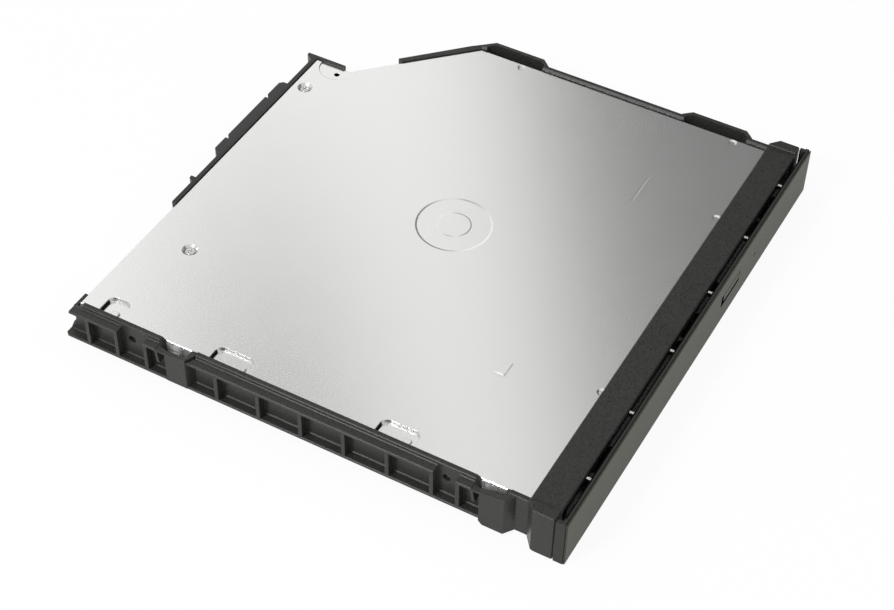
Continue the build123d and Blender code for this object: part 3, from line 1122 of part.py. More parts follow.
def lens_holder():
    """Moving holder that floats in the sled's well."""
    holder = rounded_plate(-3.8, 3.8, -3.3, 3.3, SHAFT_Z, SHAFT_Z + 1.8, 0.7)
    return SLED * (holder - round_bar(0, 0, 2.1, SHAFT_Z, SHAFT_Z + 1.8))


def objective_lens():
    """Lens with its domed top."""
    rim = SHAFT_Z + 1.7
    lens = round_bar(0, 0, 2.08, rim - 0.5, rim)
    dome = Pos(0, 0, rim - 2.2) * Sphere(3.0)
    dome &= round_bar(0, 0, 2.0, rim, rim + 0.8)
    return SLED * (lens + dome)


NODES = (
    top_cover, bottom_case, caddy_frame, rear_bracket, dock_housing, dock_contacts,
    cover_screws, bracket_screws,
    left_guide, right_guide, left_slide_rail, right_slide_rail,
    tray, cover_plate, plate_screws, tray_bezel, eject_button, light_pipe,
    main_board, board_chips, drive_connector, flex_connector, flex_cable, tray_socket,
    button_board, eject_switch, busy_light,
    latch_post, latch_lever, lever_pin, release_solenoid,
    traverse_chassis, dampers, damper_screws,
    spindle_base, spindle_stator, turntable, friction_ring, centring_hub,
    main_shaft, sub_shaft, lead_screw, sled_motor,
    pickup_body, pickup_cover, drive_nut, lens_magnets, lens_holder, objective_lens,
)

for make in NODES:
    made = make()
    pieces = made if isinstance(made, list) else [made]
    placed = [TO_ORIGIN * piece for piece in pieces]
    shape = placed[0] if len(placed) == 1 else Compound(children=placed)
    export_step(shape, f"parts/{make.__name__}.step")
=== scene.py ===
import math

import bmesh
import bpy
from mathutils import Matrix, Vector


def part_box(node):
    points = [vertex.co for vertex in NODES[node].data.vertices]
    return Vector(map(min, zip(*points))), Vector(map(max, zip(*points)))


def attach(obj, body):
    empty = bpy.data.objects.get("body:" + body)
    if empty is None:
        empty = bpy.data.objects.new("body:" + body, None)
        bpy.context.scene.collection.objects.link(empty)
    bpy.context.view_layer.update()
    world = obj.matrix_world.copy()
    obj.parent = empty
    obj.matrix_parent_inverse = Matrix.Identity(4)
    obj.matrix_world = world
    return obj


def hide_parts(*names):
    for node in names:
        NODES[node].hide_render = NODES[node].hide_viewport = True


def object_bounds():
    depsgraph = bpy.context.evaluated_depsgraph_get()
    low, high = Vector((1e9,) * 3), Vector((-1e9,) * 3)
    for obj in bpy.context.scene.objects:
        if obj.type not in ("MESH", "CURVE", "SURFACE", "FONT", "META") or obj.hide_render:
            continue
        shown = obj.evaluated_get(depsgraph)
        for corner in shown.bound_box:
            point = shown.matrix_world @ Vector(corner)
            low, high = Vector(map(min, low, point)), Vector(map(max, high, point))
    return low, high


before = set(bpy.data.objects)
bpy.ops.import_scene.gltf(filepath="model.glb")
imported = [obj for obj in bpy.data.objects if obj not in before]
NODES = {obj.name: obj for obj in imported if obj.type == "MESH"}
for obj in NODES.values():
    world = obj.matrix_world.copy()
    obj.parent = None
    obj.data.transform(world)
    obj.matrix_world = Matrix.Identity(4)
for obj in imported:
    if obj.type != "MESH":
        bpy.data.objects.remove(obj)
cad_low, cad_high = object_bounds()

MM = 0.001

# Places that finishes and pieces are measured from
BEZEL_LOW, BEZEL_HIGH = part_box("tray_bezel")
BEZEL_HALF = (BEZEL_HIGH.x - BEZEL_LOW.x) / 2
FACE_PLATE_BACK = BEZEL_LOW.y + 0.4 * MM
LIP_BACK = BEZEL_LOW.y + 1.0 * MM
PANEL_BACK = BEZEL_LOW.y + 1.45 * MM
BEZEL_END = 1.6 * MM
PIN_PITCH = 21.25 * MM
PIN_REACH = 0.7 * MM
PIN_DROP = 1.6 * MM
BUTTON_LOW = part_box("eject_button")[0]
# Reach of the button's painted shade, up from its lower edge and in from its left end
SLOT_SHADE_TOP = BUTTON_LOW.z + 1.45 * MM
SLOT_SHADE_END = BUTTON_LOW.x + 1.7 * MM
ROTOR_LOW, ROTOR_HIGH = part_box("turntable")
SPINDLE = (ROTOR_LOW + ROTOR_HIGH) / 2
LID_LOW, LID_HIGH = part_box("top_cover")
BOARD_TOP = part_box("main_board")[1].z


# Wires and nodes

class Wire:
    """A socket in a node tree. Sums and products of wires add Math nodes."""

    def __init__(self, tree, socket=None):
        self.tree = tree
        self.socket = socket

    def node(self, kind, out=0, settings=None, **sockets):
        """Adds a node: its settings first, then a value or a wire for each named socket."""
        made = self.tree.nodes.new(kind)
        for name, value in (settings or {}).items():
            setattr(made, name, value)
        for name, value in sockets.items():
            key = int(name[1:]) if name[1:].isdigit() else name.replace("_", " ")
            if isinstance(value, Wire):
                self.tree.links.new(value.socket, made.inputs[key])
            else:
                made.inputs[key].default_value = value
        return Wire(self.tree, made.outputs[out]) if made.outputs else None

    def maths(self, operation, second=0.0, swapped=False):
        """A Math node of this wire and a second value, in that order unless swapped."""
        values = (second, self) if swapped else (self, second)
        return self.node("ShaderNodeMath", settings={"operation": operation}, i0=values[0], i1=values[1])

    def __add__(self, other):
        return self.maths("ADD", other)

    def __radd__(self, other):
        return self.maths("ADD", other, swapped=True)

    def __sub__(self, other):
        return self.maths("SUBTRACT", other)

    def __rsub__(self, other):
        return self.maths("SUBTRACT", other, swapped=True)

    def __mul__(self, other):
        return self.maths("MULTIPLY", other)

    def __rmul__(self, other):
        return self.maths("MULTIPLY", other, swapped=True)

    def __truediv__(self, other):
        return self.maths("DIVIDE", other)

    def __abs__(self):
        return self.maths("ABSOLUTE")

    def axis(self, letter):
        """One axis of a vector wire."""
        return self.node("ShaderNodeSeparateXYZ", "XYZ".index(letter), Vector=self)

    def steps(self, low, high):
        """Nought below low, one above high, smooth between."""
        return self.node("ShaderNodeMapRange", settings={"interpolation_type": "SMOOTHSTEP"},
                         Value=self, From_Min=low, From_Max=high)

    def stripes(self, pitch, share):
        """One on stripes that fill a share of each pitch, with soft sides."""
        softness = 0.12
        wave = (self / pitch).maths("PINGPONG", 0.5) * 2
        return 1 - wave.steps(share - softness, share + softness)

    def blend(self, first, second):
        """Colour between two colours, by this wire."""
        return self.node("ShaderNodeMix", 2, {"data_type": "RGBA"}, i0=self, i6=first, i7=second)


def new_tree(owner):
    """An emptied node tree of a material or a world."""
    owner.use_nodes = True
    owner.node_tree.nodes.clear()
    return Wire(owner.node_tree)


def places(tree):
    """Point of the object's surface, in metres."""
    return tree.node("ShaderNodeTexCoord", "Object")


def noise(tree, size, detail=2.0, stretch=(1, 1, 1), turn=0.0):
    """Soft noise whose features are about size across, in metres."""
    scaled = tree.node("ShaderNodeMapping", Vector=places(tree), Rotation=(0, 0, turn), Scale=stretch)
    return tree.node("ShaderNodeTexNoise", "Fac", Vector=scaled, Scale=1 / size, Detail=detail)


def cells(tree, size, out="Color"):
    """Value that differs from cell to cell, or the distance to the cell's middle."""
    found = tree.node("ShaderNodeTexVoronoi", out, Vector=places(tree), Scale=1 / size)
    return found.axis("X") if out == "Color" else found


def rounded_normal(tree, radius):
    return tree.node("ShaderNodeBevel", settings={"samples": 4}, Radius=radius)


def edge_wear_and_highlight(tree, radius):
    """One along the sharp edges, nought on the faces."""
    true_normal = tree.node("ShaderNodeNewGeometry", "Normal")
    along = tree.node("ShaderNodeVectorMath", "Value", {"operation": "DOT_PRODUCT"},
                      i0=rounded_normal(tree, radius), i1=true_normal)
    return (1 - along).steps(0.02, 0.3)


def rgb(red, green, blue):
    return (red, green, blue, 1)


# Size of the soft clouds in every finish, and how far clouds and grain move its roughness
CLOUD_SIZE = 9 * MM
CLOUD_GLOSS = 0.18
GRAIN_GLOSS = 0.16
# Colour of painted shade: near black
UNLIT = (0.004, 0.004, 0.004)


def finish(name, base, roughness, metallic=0.0, grain=0.004 * MM, grain_size=0.3 * MM,
           round_edge=0.12 * MM, mottle=0.08, cloud=0.55, edge=None, marks=None, mark_colour=None,
           mark_gloss=0.0, mark_depth=0.0, painted=(), hollow=None, **fixed):
    """A procedural finish: mottled colour, grain in gloss and relief, softened edges and any marks.

    Painted areas take a colour of their own, as two-tone paint or a painted highlight. A painted-shade area
    is drawn black and sends back no light.
    """
    material = bpy.data.materials.new(name)
    tree = new_tree(material)
    cloudy = noise(tree, CLOUD_SIZE, 3)
    fine = noise(tree, grain_size, 3)
    darker = rgb(*(channel * (1 - mottle) for channel in base))
    paler = rgb(*(min(1, channel * (1 + mottle)) for channel in base))
    tint = (cloudy * cloud + fine * (1 - cloud)).steps(0.3, 0.7).blend(darker, paler)
    gloss = roughness + (cloudy - 0.5) * CLOUD_GLOSS * cloud + (fine - 0.5) * GRAIN_GLOSS
    relief = tree.node("ShaderNodeBump", Strength=1.0, Distance=grain, Height=fine,
                       Normal=rounded_normal(tree, round_edge))
    if marks:
        drawn = marks(tree)
        if mark_colour:
            tint = drawn.blend(tint, rgb(*mark_colour))
        gloss = gloss + drawn * mark_gloss
        if mark_depth:
            relief = tree.node("ShaderNodeBump", Strength=1.0, Distance=mark_depth, Height=drawn,
                               Normal=relief)
    # Lighter edges: wear, and on the charcoal moulding also a painted highlight along the edges
    if edge:
        tint = edge_wear_and_highlight(tree, round_edge).blend(tint, rgb(*edge))
    for area, shade in painted:
        tint = area(tree).blend(tint, rgb(*shade))
    shader = tree.node("ShaderNodeBsdfPrincipled", "BSDF", Base_Color=tint, Roughness=gloss,
                       Metallic=metallic, Normal=relief, **fixed)
    # Painted shade: where the mask is one, the surface becomes a black one that sends back no light
    if hollow:
        unlit = tree.node("ShaderNodeBsdfPrincipled", "BSDF", Base_Color=rgb(*UNLIT), Roughness=0.9,
                          IOR=1.01)
        shader = tree.node("ShaderNodeMixShader", "Shader", i0=hollow(tree), i1=shader, i2=unlit)
    tree.node("ShaderNodeOutputMaterial", Surface=shader)
    return material


# Marks, painted shade and painted highlights

# Middle, length and depth of the lid's tab pockets, back from the bezel's face and in from the left side
POCKETS = ((85.95, 9.7, 4.5), (43.55, 9.3, 4.3), (118.0, 5.4, 5.3))


def pocket_slit_shade(tree):
    """Painted shade: dark colour on the rear wall of each tab pocket, standing in for the shade inside its
    sheared opening.
    """
    place = places(tree)
    inward = place.axis("X") - LID_LOW.x
    on_top = place.axis("Z").steps(LID_HIGH.z - 0.16 * MM, LID_HIGH.z - 0.1 * MM)
    slit_shade = 0.0
    for middle, length, depth in POCKETS:
        wall = BEZEL_LOW.y + (middle + length / 2 + 0.1) * MM
        at_wall = 1 - abs(place.axis("Y") - wall).steps(0.3 * MM, 0.36 * MM)
        within = 1 - inward.steps((depth - 1.2) * MM, (depth - 1.0) * MM)
        slit_shade = slit_shade + at_wall * within
    return slit_shade * (1 - on_top)


def rolled_streaks(tree):
    """Faint lines left along the sheet by rolling."""
    return noise(tree, 0.35 * MM, 3, (1, 0.03, 1)).steps(0.35, 0.7)


def cross_streaks(tree):
    """Brushed lines across the plate."""
    return noise(tree, 0.25 * MM, 3, (0.03, 1, 1)).steps(0.35, 0.7)


def slanting_streaks(tree):
    """Grinding lines along the shafts, which lie at 45 degrees."""
    return noise(tree, 0.12 * MM, 2, (0.03, 1, 1), math.radians(45)).steps(0.35, 0.7)


def spangle(tree):
    """Crystals of the zinc coat."""
    return cells(tree, 2.2 * MM).steps(0.1, 0.9)


def from_spindle(tree):
    """Distance from the spindle's axis, in metres."""
    middle = tree.node("ShaderNodeVectorMath", 0, {"operation": "SUBTRACT"}, i0=places(tree), i1=SPINDLE)
    flat = tree.node("ShaderNodeVectorMath", 0, {"operation": "MULTIPLY"}, i0=middle, i1=(1, 1, 0))
    return tree.node("ShaderNodeVectorMath", "Value", {"operation": "LENGTH"}, i0=flat)


def turned_rings(tree):
    """Rings left by the lathe tool round the spindle."""
    return from_spindle(tree).stripes(0.22 * MM, 0.5) * noise(tree, 3 * MM).steps(0.25, 0.75)


def wound_wire(tree):
    """Ring of the stator's poles that the enamelled wire covers."""
    radius = from_spindle(tree)
    return radius.steps(5.3 * MM, 5.5 * MM) * (1 - radius.steps(9.8 * MM, 10.0 * MM))


def board_tracks(tree):
    """Copper tracks under the varnish, in runs that change direction."""
    place = places(tree)
    lengthwise = place.axis("X").stripes(0.55 * MM, 0.45)
    crosswise = place.axis("Y").stripes(0.6 * MM, 0.45)
    which = cells(tree, 6 * MM).steps(0.48, 0.52)
    return (which * lengthwise + (1 - which) * crosswise) * cells(tree, 3.1 * MM).steps(0.3, 0.34)


def cable_conductors(tree):
    """Flat tinned conductors side by side in the film."""
    return places(tree).axis("X").stripes(0.8 * MM, 0.6)


def behind_face(tree):
    """One behind the face plate's rim, nought on the plate."""
    return places(tree).axis("Y").steps(FACE_PLATE_BACK, FACE_PLATE_BACK + 0.05 * MM)


def pin_top_highlights(tree):
    """Painted highlight: bright colour where the tops of the small pins in the gap behind the bezel catch
    the light.
    """
    place = places(tree)
    from_pin = (place.axis("X") / PIN_PITCH + 0.5).maths("PINGPONG", 0.5) * PIN_PITCH
    on_pin = 1 - from_pin.steps(PIN_REACH, PIN_REACH + 0.1 * MM)
    behind = place.axis("Y").steps(PANEL_BACK, PANEL_BACK + 0.05 * MM)
    pin_top = BEZEL_HIGH.z - PIN_DROP
    return on_pin * behind * place.axis("Z").steps(pin_top, pin_top + 0.4 * MM)


def lip_gap_shade(tree):
    """Painted shade: the bezel's back behind its lip, between its two ends, drawn black for the gap that no
    light reaches.
    """
    place = places(tree)
    at_end = abs(place.axis("X")).steps(BEZEL_HALF - BEZEL_END, BEZEL_HALF - BEZEL_END + 0.2 * MM)
    behind = place.axis("Y").steps(LIP_BACK, LIP_BACK + 0.1 * MM)
    return behind * (1 - at_end) * (1 - pin_top_highlights(tree))


def button_slot_shade(tree):
    """Painted shade: black along the button's lower edge and its left end, standing in for the shade in the
    slot there.
    """
    place = places(tree)
    lower = 1 - place.axis("Z").steps(SLOT_SHADE_TOP, SLOT_SHADE_TOP + 0.1 * MM)
    left = 1 - place.axis("X").steps(SLOT_SHADE_END, SLOT_SHADE_END + 0.1 * MM)
    return lower.maths("MAXIMUM", left)


def plated_tips(tree):
    """Nickel showing where the gold is worn."""
    return noise(tree, 0.6 * MM, 3).steps(0.55, 0.72)


def spark_grain(tree):
    """Pitted texture of the mould."""
    return cells(tree, 0.32 * MM, "Distance").steps(0.1, 0.7)


# Finishes

CHARCOAL = (0.031, 0.031, 0.0295)
OLIVE = (0.05, 0.053, 0.035)
STEEL = (0.56, 0.56, 0.55)
BRIGHT_STEEL = (0.66, 0.66, 0.65)

FINISHES = {
    # The lid's dark marks are painted shade on the pocket walls, where the sheared openings' inside lies in
    # shade
    "satin_lid_sheet": dict(base=(0.8, 0.8, 0.79), roughness=0.2, metallic=1.0, grain=0.006 * MM,
                            grain_size=0.3 * MM, mottle=0.07, cloud=0.08, round_edge=0.2 * MM,
                            marks=pocket_slit_shade, mark_colour=(0.03, 0.03, 0.03)),
    "zinc_case_sheet": dict(base=(0.66, 0.68, 0.65), roughness=0.3, metallic=0.6, grain_size=0.9 * MM,
                            marks=spangle, mark_colour=(0.72, 0.73, 0.73), mark_gloss=0.1),
    # Its lighter edges are partly wear and partly a painted highlight along the edges
    "charcoal_moulding": dict(base=CHARCOAL, roughness=0.3, grain=0.006 * MM, grain_size=0.4 * MM,
                              mottle=0.3, cloud=0.1, round_edge=0.1 * MM, edge=(0.13, 0.13, 0.125),
                              IOR=1.3),
    "olive_face_moulding": dict(base=OLIVE, roughness=0.44, grain=0.008 * MM, grain_size=0.35 * MM,
                                mottle=0.2, cloud=0.1, round_edge=0.14 * MM, IOR=1.26,
                                # Charcoal behind the face plate is two-tone paint; the pale pin tops are
                                # painted highlights
                                painted=((behind_face, CHARCOAL), (pin_top_highlights, (0.75, 0.75, 0.72))),
                                # Painted shade behind the lip
                                hollow=lip_gap_shade),
    # The button's lower edge and left end carry painted shade
    "button_moulding": dict(base=OLIVE, roughness=0.44, grain=0.008 * MM, grain_size=0.35 * MM,
                            mottle=0.2, cloud=0.1, round_edge=0.14 * MM, IOR=1.26,
                            hollow=button_slot_shade),
    "black_drawer_moulding": dict(base=(0.014, 0.014, 0.0145), roughness=0.4, mottle=0.15,
                                  marks=spark_grain, mark_gloss=0.1, mark_depth=0.012 * MM,
                                  edge=(0.03, 0.03, 0.03)),
    "black_connector_moulding": dict(base=(0.018, 0.018, 0.018), roughness=0.38),
    "gilt_contacts": dict(base=(0.85, 0.62, 0.27), roughness=0.22, metallic=1.0, marks=plated_tips,
                          mark_colour=(0.66, 0.62, 0.52), mark_gloss=0.12),
    "bright_screw_steel": dict(base=(0.62, 0.62, 0.6), roughness=0.26, metallic=1.0, edge=(0.8, 0.8, 0.78)),
    "natural_guide_moulding": dict(base=(0.68, 0.67, 0.61), roughness=0.42, Subsurface_Weight=0.1),
    "drawn_rail_steel": dict(base=STEEL, roughness=0.24, metallic=1.0, marks=rolled_streaks,
                             mark_gloss=0.14, mark_colour=(0.5, 0.5, 0.49)),
    "plain_plate_steel": dict(base=STEEL, roughness=0.3, metallic=1.0, marks=cross_streaks, mark_gloss=0.16,
                              mark_colour=(0.48, 0.48, 0.47), edge=(0.7, 0.7, 0.69)),
    "clear_pipe": dict(base=(0.86, 0.9, 0.86), roughness=0.1, Transmission_Weight=0.9, IOR=1.49),
    "board_varnish": dict(base=(0.008, 0.085, 0.035), roughness=0.3, marks=board_tracks,
                          mark_colour=(0.02, 0.17, 0.075), mark_depth=0.02 * MM, Coat_Weight=0.4),
    "chip_resin": dict(base=(0.016, 0.016, 0.017), roughness=0.5, grain=0.01 * MM, grain_size=0.15 * MM),
    "ivory_socket": dict(base=(0.62, 0.58, 0.46), roughness=0.45),
    "flat_cable": dict(base=(0.66, 0.69, 0.7), roughness=0.28, marks=cable_conductors,
                       mark_colour=(0.36, 0.37, 0.36), mark_depth=0.03 * MM, Coat_Weight=0.5),
    "switch_tin": dict(base=(0.6, 0.6, 0.57), roughness=0.3, metallic=1.0),
    "lamp_resin": dict(base=(0.78, 0.8, 0.68), roughness=0.18, Transmission_Weight=0.4),
    "grey_lever_moulding": dict(base=(0.11, 0.11, 0.115), roughness=0.42),
    "solenoid_yoke": dict(base=(0.5, 0.47, 0.41), roughness=0.34, metallic=1.0, marks=cross_streaks,
                          mark_colour=(0.4, 0.38, 0.34), mark_gloss=0.1),
    "damper_rubber": dict(base=(0.035, 0.05, 0.085), roughness=0.7, grain=0.02 * MM),
    "wound_core": dict(base=(0.2, 0.2, 0.2), roughness=0.35, metallic=1.0, marks=wound_wire,
                       mark_colour=(0.6, 0.24, 0.1)),
    "nickel_rotor": dict(base=(0.7, 0.69, 0.65), roughness=0.18, metallic=1.0, marks=turned_rings,
                         mark_gloss=0.12, mark_depth=0.002 * MM, edge=(0.85, 0.84, 0.8)),
    "ring_rubber": dict(base=(0.016, 0.016, 0.016), roughness=0.62, grain=0.014 * MM, marks=turned_rings,
                        mark_gloss=-0.1),
    "hub_moulding": dict(base=(0.022, 0.022, 0.024), roughness=0.32, marks=turned_rings, mark_gloss=0.08,
                         edge=(0.05, 0.05, 0.05)),
    "ground_shaft_steel": dict(base=(0.72, 0.72, 0.72), roughness=0.1, metallic=1.0, marks=slanting_streaks,
                               mark_gloss=0.08),
    "die_cast_sled": dict(base=(0.42, 0.42, 0.43), roughness=0.42, metallic=1.0, grain=0.02 * MM,
                          grain_size=0.5 * MM, edge=(0.6, 0.6, 0.6)),
    "sled_cover_sheet": dict(base=BRIGHT_STEEL, roughness=0.22, metallic=1.0, marks=slanting_streaks,
                             mark_gloss=0.1),
    "white_nut_moulding": dict(base=(0.76, 0.75, 0.7), roughness=0.36, Subsurface_Weight=0.1),
    "nickel_magnet": dict(base=(0.55, 0.55, 0.53), roughness=0.2, metallic=1.0, edge=(0.75, 0.75, 0.72)),
    "lens_holder_moulding": dict(base=(0.02, 0.02, 0.022), roughness=0.42),
    "coated_lens": dict(base=(0.02, 0.03, 0.07), roughness=0.06, Coat_Weight=1.0,
                        Coat_Tint=rgb(0.7, 0.8, 1.0)),
}

WEARS = {
    "satin_lid_sheet": ["top_cover"],
    "zinc_case_sheet": ["bottom_case"],
    "charcoal_moulding": ["caddy_frame", "rear_bracket"],
    "olive_face_moulding": ["tray_bezel"],
    "button_moulding": ["eject_button"],
    "black_drawer_moulding": ["tray"],
    "black_connector_moulding": ["dock_housing", "drive_connector"],
    "gilt_contacts": ["dock_contacts"],
    "bright_screw_steel": ["cover_screws", "bracket_screws", "plate_screws", "damper_screws", "latch_post",
                           "lever_pin"],
    "natural_guide_moulding": ["left_guide", "right_guide"],
    "drawn_rail_steel": ["left_slide_rail", "right_slide_rail"],
    "plain_plate_steel": ["cover_plate", "traverse_chassis", "spindle_base", "sled_motor"],
    "clear_pipe": ["light_pipe"],
    "board_varnish": ["main_board", "button_board"],
    "chip_resin": ["board_chips"],
    "ivory_socket": ["flex_connector", "tray_socket"],
    "flat_cable": ["flex_cable"],
    "switch_tin": ["eject_switch"],
    "lamp_resin": ["busy_light"],
    "grey_lever_moulding": ["latch_lever"],
    "solenoid_yoke": ["release_solenoid"],
    "damper_rubber": ["dampers"],
    "wound_core": ["spindle_stator"],
    "nickel_rotor": ["turntable"],
    "ring_rubber": ["friction_ring"],
    "hub_moulding": ["centring_hub"],
    "ground_shaft_steel": ["main_shaft", "sub_shaft", "lead_screw"],
    "die_cast_sled": ["pickup_body"],
    "sled_cover_sheet": ["pickup_cover"],
    "white_nut_moulding": ["drive_nut"],
    "nickel_magnet": ["lens_magnets"],
    "lens_holder_moulding": ["lens_holder"],
    "coated_lens": ["objective_lens"],
}

made_finishes = {}
for finish_name, nodes in WEARS.items():
    made_finishes[finish_name] = finish(finish_name, **FINISHES[finish_name])
    for node_name in nodes:
        for holder in NODES[node_name].material_slots:
            holder.material = made_finishes[finish_name]


# Detail pieces

def add_piece(name, mesh_data, body, finish_name):
    """Makes a piece from a bmesh, with its finish, riding on a body."""
    mesh = bpy.data.meshes.new(name)
    bmesh.ops.recalc_face_normals(mesh_data, faces=mesh_data.faces)
    mesh_data.to_mesh(mesh)
    mesh_data.free()
    piece = bpy.data.objects.new(name, mesh)
    bpy.context.scene.collection.objects.link(piece)
    mesh.materials.append(made_finishes[finish_name])
    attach(piece, body)
    return piece


def threaded_screw():
    """Lead screw with its two-start thread and plain journals, made of rings along its own axis."""
    journal, crest, depth = 0.6 * MM, 1.1 * MM, 0.24 * MM
    pitch, starts, steepness = 1.5 * MM, 2, 1.6
    first_length, last_length = 1.2 * MM, 3.0 * MM
    sides, step = 24, pitch / 8
    low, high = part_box("lead_screw")
    slant = math.sqrt(0.5)
    start = Vector((low.x + journal * slant, high.y - journal * slant, (low.z + high.z) / 2))
    end = Vector((high.x - journal * slant, low.y + journal * slant, start.z))
    along = (end - start).normalized()
    side = along.cross(Vector((0, 0, 1)))
    length = (end - start).length
    rows = [(0.0, False), (first_length, False)]
    count = int((length - first_length - last_length) / step)
    rows += [(first_length + index * step, True) for index in range(count + 1)]
    rows += [(length - last_length, False), (length, False)]
    made = bmesh.new()
    rings = []
    for place, threaded in rows:
        ring = []
        for index in range(sides):
            turn = index / sides
            groove = abs((place / pitch - starts * turn) % 1 - 0.5) * 2
            cut = depth * max(0.0, 1 - groove * steepness)
            radius = crest - cut if threaded else journal
            angle = turn * math.tau
            out = side * math.cos(angle) + Vector((0, 0, 1)) * math.sin(angle)
            ring.append(made.verts.new(start + along * place + out * radius))
        rings.append(ring)
    for first, second in zip(rings, rings[1:]):
        for index in range(sides):
            after = (index + 1) % sides
            made.faces.new((first[index], first[after], second[after], second[index]))
    made.faces.new(rings[0][::-1])
    made.faces.new(rings[-1])
    screw = add_piece("threaded_lead_screw", made, "lead_screw", "ground_shaft_steel")
    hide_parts("lead_screw")


def solid_boxes(node):
    """Lowest and highest corners of each separate solid of a CAD node."""
    copy = bmesh.new()
    copy.from_mesh(NODES[node].data)
    bmesh.ops.remove_doubles(copy, verts=copy.verts, dist=0.001 * MM)
    waiting = set(copy.verts)
    boxes = []
    while waiting:
        points = []
        border = [waiting.pop()]
        while border:
            vert = border.pop()
            points.append(vert.co)
            for link in vert.link_edges:
                other = link.other_vert(vert)
                if other in waiting:
                    waiting.remove(other)
                    border.append(other)
        lowest = Vector([min(values) for values in zip(*points)])
        highest = Vector([max(values) for values in zip(*points)])
        boxes.append((lowest, highest))
    copy.free()
    return sorted(boxes, key=lambda box: tuple(box[0]))


def gull_leg(made, root, out, across, drop, width):
    """One bent leg from a package's side down to its pad."""
    thick, reach = 0.1 * MM, 0.75 * MM
    shoulder, foot = 0.25 * MM, 0.4 * MM
    inner_shoulder, inner_foot = 0.2 * MM, 0.33 * MM
    line = [(0, 0), (shoulder, 0), (foot, -drop + thick), (reach, -drop + thick),
            (reach, -drop), (inner_foot, -drop), (inner_shoulder, -thick), (0, -thick)]
    sides = []
    for shift in (-width / 2, width / 2):
        sides.append([made.verts.new(root + out * x + Vector((0, 0, z)) + across * shift) for x, z in line])
    for index in range(len(line)):
        after = (index + 1) % len(line)
        made.faces.new((sides[0][index], sides[0][after], sides[1][after], sides[1][index]))
    made.faces.new(sides[0])
    made.faces.new(sides[1][::-1])


def chip_legs():
    """Tinned legs along the packages' sides, on all four where a package is square."""
    made = bmesh.new()
    pitch, width = 0.65 * MM, 0.28 * MM
    bare_ends = 1.2 * MM
    nearly = 0.5 * MM
    for low, high in solid_boxes("board_chips"):
        size = high - low
        middle = (low + high) / 2
        root_height = BOARD_TOP + size.z * 0.45
        square = abs(size.x - size.y) < nearly
        for out in (Vector((1, 0, 0)), Vector((-1, 0, 0)), Vector((0, 1, 0)), Vector((0, -1, 0))):
            lengthwise = abs(out.x) > 0.5
            run = size.y if lengthwise else size.x
            if not square and run < max(size.x, size.y):
                continue
            across = Vector((abs(out.y), abs(out.x), 0))
            half = (size.x if lengthwise else size.y) / 2
            count = int((run - bare_ends) / pitch)
            for index in range(count + 1):
                shift = (index - count / 2) * pitch
                root = Vector((middle.x, middle.y, root_height)) + out * half + across * shift
                gull_leg(made, root, out, across, root_height - BOARD_TOP, width)
    add_piece("chip_legs", made, "chassis", "switch_tin")


threaded_screw()
chip_legs()


# Floor, sky and lamps

def floor_material():
    """White to the camera and in reflections, with the object's soft shadow kept."""
    material = bpy.data.materials.new("studio_floor")
    tree = new_tree(material)
    paper = tree.node("ShaderNodeBsdfDiffuse", "BSDF", Color=rgb(0.86, 0.86, 0.86))
    glow = tree.node("ShaderNodeEmission", "Emission", Color=rgb(1, 1, 1), Strength=1.0)
    glow_share = 0.0
    for ray, share in (("Is Camera Ray", 0.92), ("Is Glossy Ray", 0.7), ("Is Transmission Ray", 0.7)):
        glow_share = glow_share + tree.node("ShaderNodeLightPath", ray) * share
    mixed = tree.node("ShaderNodeMixShader", "Shader", i0=glow_share, i1=paper, i2=glow)
    tree.node("ShaderNodeOutputMaterial", Surface=mixed)
    return material


def studio_floor():
    mesh = bpy.data.meshes.new("studio_floor")
    half, gap = 4.0, 0.02 * MM
    level = cad_low.z - gap
    corners = [(-half, -half, level), (half, -half, level), (half, half, level), (-half, half, level)]
    mesh.from_pydata(corners, [], [(0, 1, 2, 3)])
    floor = bpy.data.objects.new("studio_floor", mesh)
    bpy.context.scene.collection.objects.link(floor)
    mesh.materials.append(floor_material())


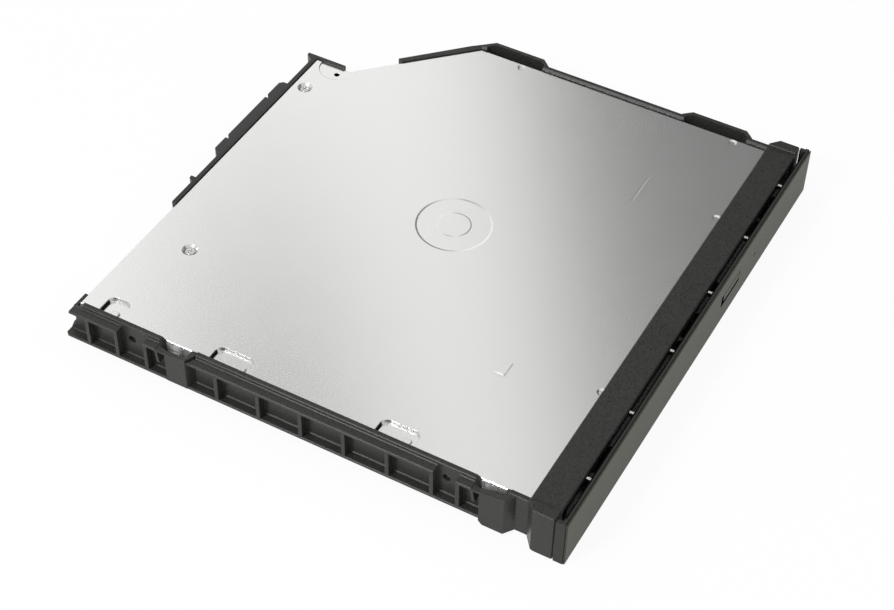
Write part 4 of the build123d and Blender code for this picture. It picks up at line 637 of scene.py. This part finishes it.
def studio_sky():
    """White to the camera; to the object a soft bright ceiling with one straight side and a dim right."""
    world = bpy.data.worlds.new("studio")
    bpy.context.scene.world = world
    tree = new_tree(world)
    toward = tree.node("ShaderNodeTexCoord", "Generated")
    height = toward.axis("Z").maths("MAXIMUM", 0.05)
    # Place on a ceiling one unit overhead, and distance in from its straight side
    across, along = toward.axis("X") / height, toward.axis("Y") / height
    slope, shift, scale = 0.635, 0.196, 0.844
    inward = (along - slope * across + shift) * scale
    dim_right, dim_left = 0.21, 0.71
    dim = dim_right + (dim_left - dim_right) * (1 - across.steps(0.26, 0.46))
    brightest, fall = 1.18, 0.4
    ceiling = brightest - fall * inward.steps(0.35, 1.0)
    # Darker fold along the side, gone towards the right
    fold_middle, fold_half, fold_depth = 0.218, 0.114, 1.1
    off_fold = abs(inward - fold_middle)
    fold = (1 - off_fold.steps(0.0, fold_half)) * (1 - across.steps(0.577, 1.136)) * fold_depth
    lit = inward.steps(-0.02, 0.03)
    horizon = (1 - toward.axis("Z").steps(0.05, 0.35)) * 0.2
    level = (dim + (ceiling - dim - fold) * lit + horizon).maths("MAXIMUM", 0.0)
    glow = tree.node("ShaderNodeBackground", "Background", Color=rgb(1, 1, 1), Strength=level)
    plain = tree.node("ShaderNodeBackground", "Background", Color=rgb(1, 1, 1), Strength=1.0)
    seen = tree.node("ShaderNodeLightPath", "Is Camera Ray")
    mixed = tree.node("ShaderNodeMixShader", "Shader", i0=seen, i1=glow, i2=plain)
    tree.node("ShaderNodeOutputWorld", Surface=mixed)


def lamp(name, azimuth, elevation, distance, size, power, mirrored=True):
    """Oblong soft lamp, aimed at the object, placed by its direction from it."""
    turn, rise = math.radians(azimuth), math.radians(elevation)
    toward = Vector((math.cos(turn) * math.cos(rise), math.sin(turn) * math.cos(rise), math.sin(rise)))
    light = bpy.data.lights.new(name, "AREA")
    light.shape = "RECTANGLE"
    light.size, light.size_y = size
    light.energy = power
    holder = bpy.data.objects.new(name, light)
    holder.location = toward * distance
    holder.rotation_euler = toward.to_track_quat("Z", "Y").to_euler()
    holder.visible_glossy = mirrored
    bpy.context.scene.collection.objects.link(holder)


def camera():
    """Long lens at the photograph's angle."""
    lens = bpy.data.cameras.new("camera")
    lens.lens = 78.16
    lens.sensor_width = 36
    lens.clip_start, lens.clip_end = 0.01, 20
    holder = bpy.data.objects.new("camera", lens)
    place = (-0.29780, -0.15786, 0.32778)
    forward = Vector((0.61941287, 0.32887932, -0.71285769)).normalized()
    right = Vector((0.48447597, -0.87463041, 0.01745482)).normalized()
    up = right.cross(forward)
    turn = Matrix((right, up, -forward)).transposed().to_4x4()
    holder.matrix_world = Matrix.Translation(place) @ turn
    bpy.context.scene.collection.objects.link(holder)
    bpy.context.scene.camera = holder


studio_floor()
studio_sky()
lamp("left_key", azimuth=157, elevation=41, distance=1.2, size=(0.2, 0.16), power=6.5)
lamp("front_soft", azimuth=-70, elevation=40, distance=1.4, size=(0.8, 0.6), power=3, mirrored=False)
camera()
bpy.context.scene.view_settings.view_transform = "Standard"
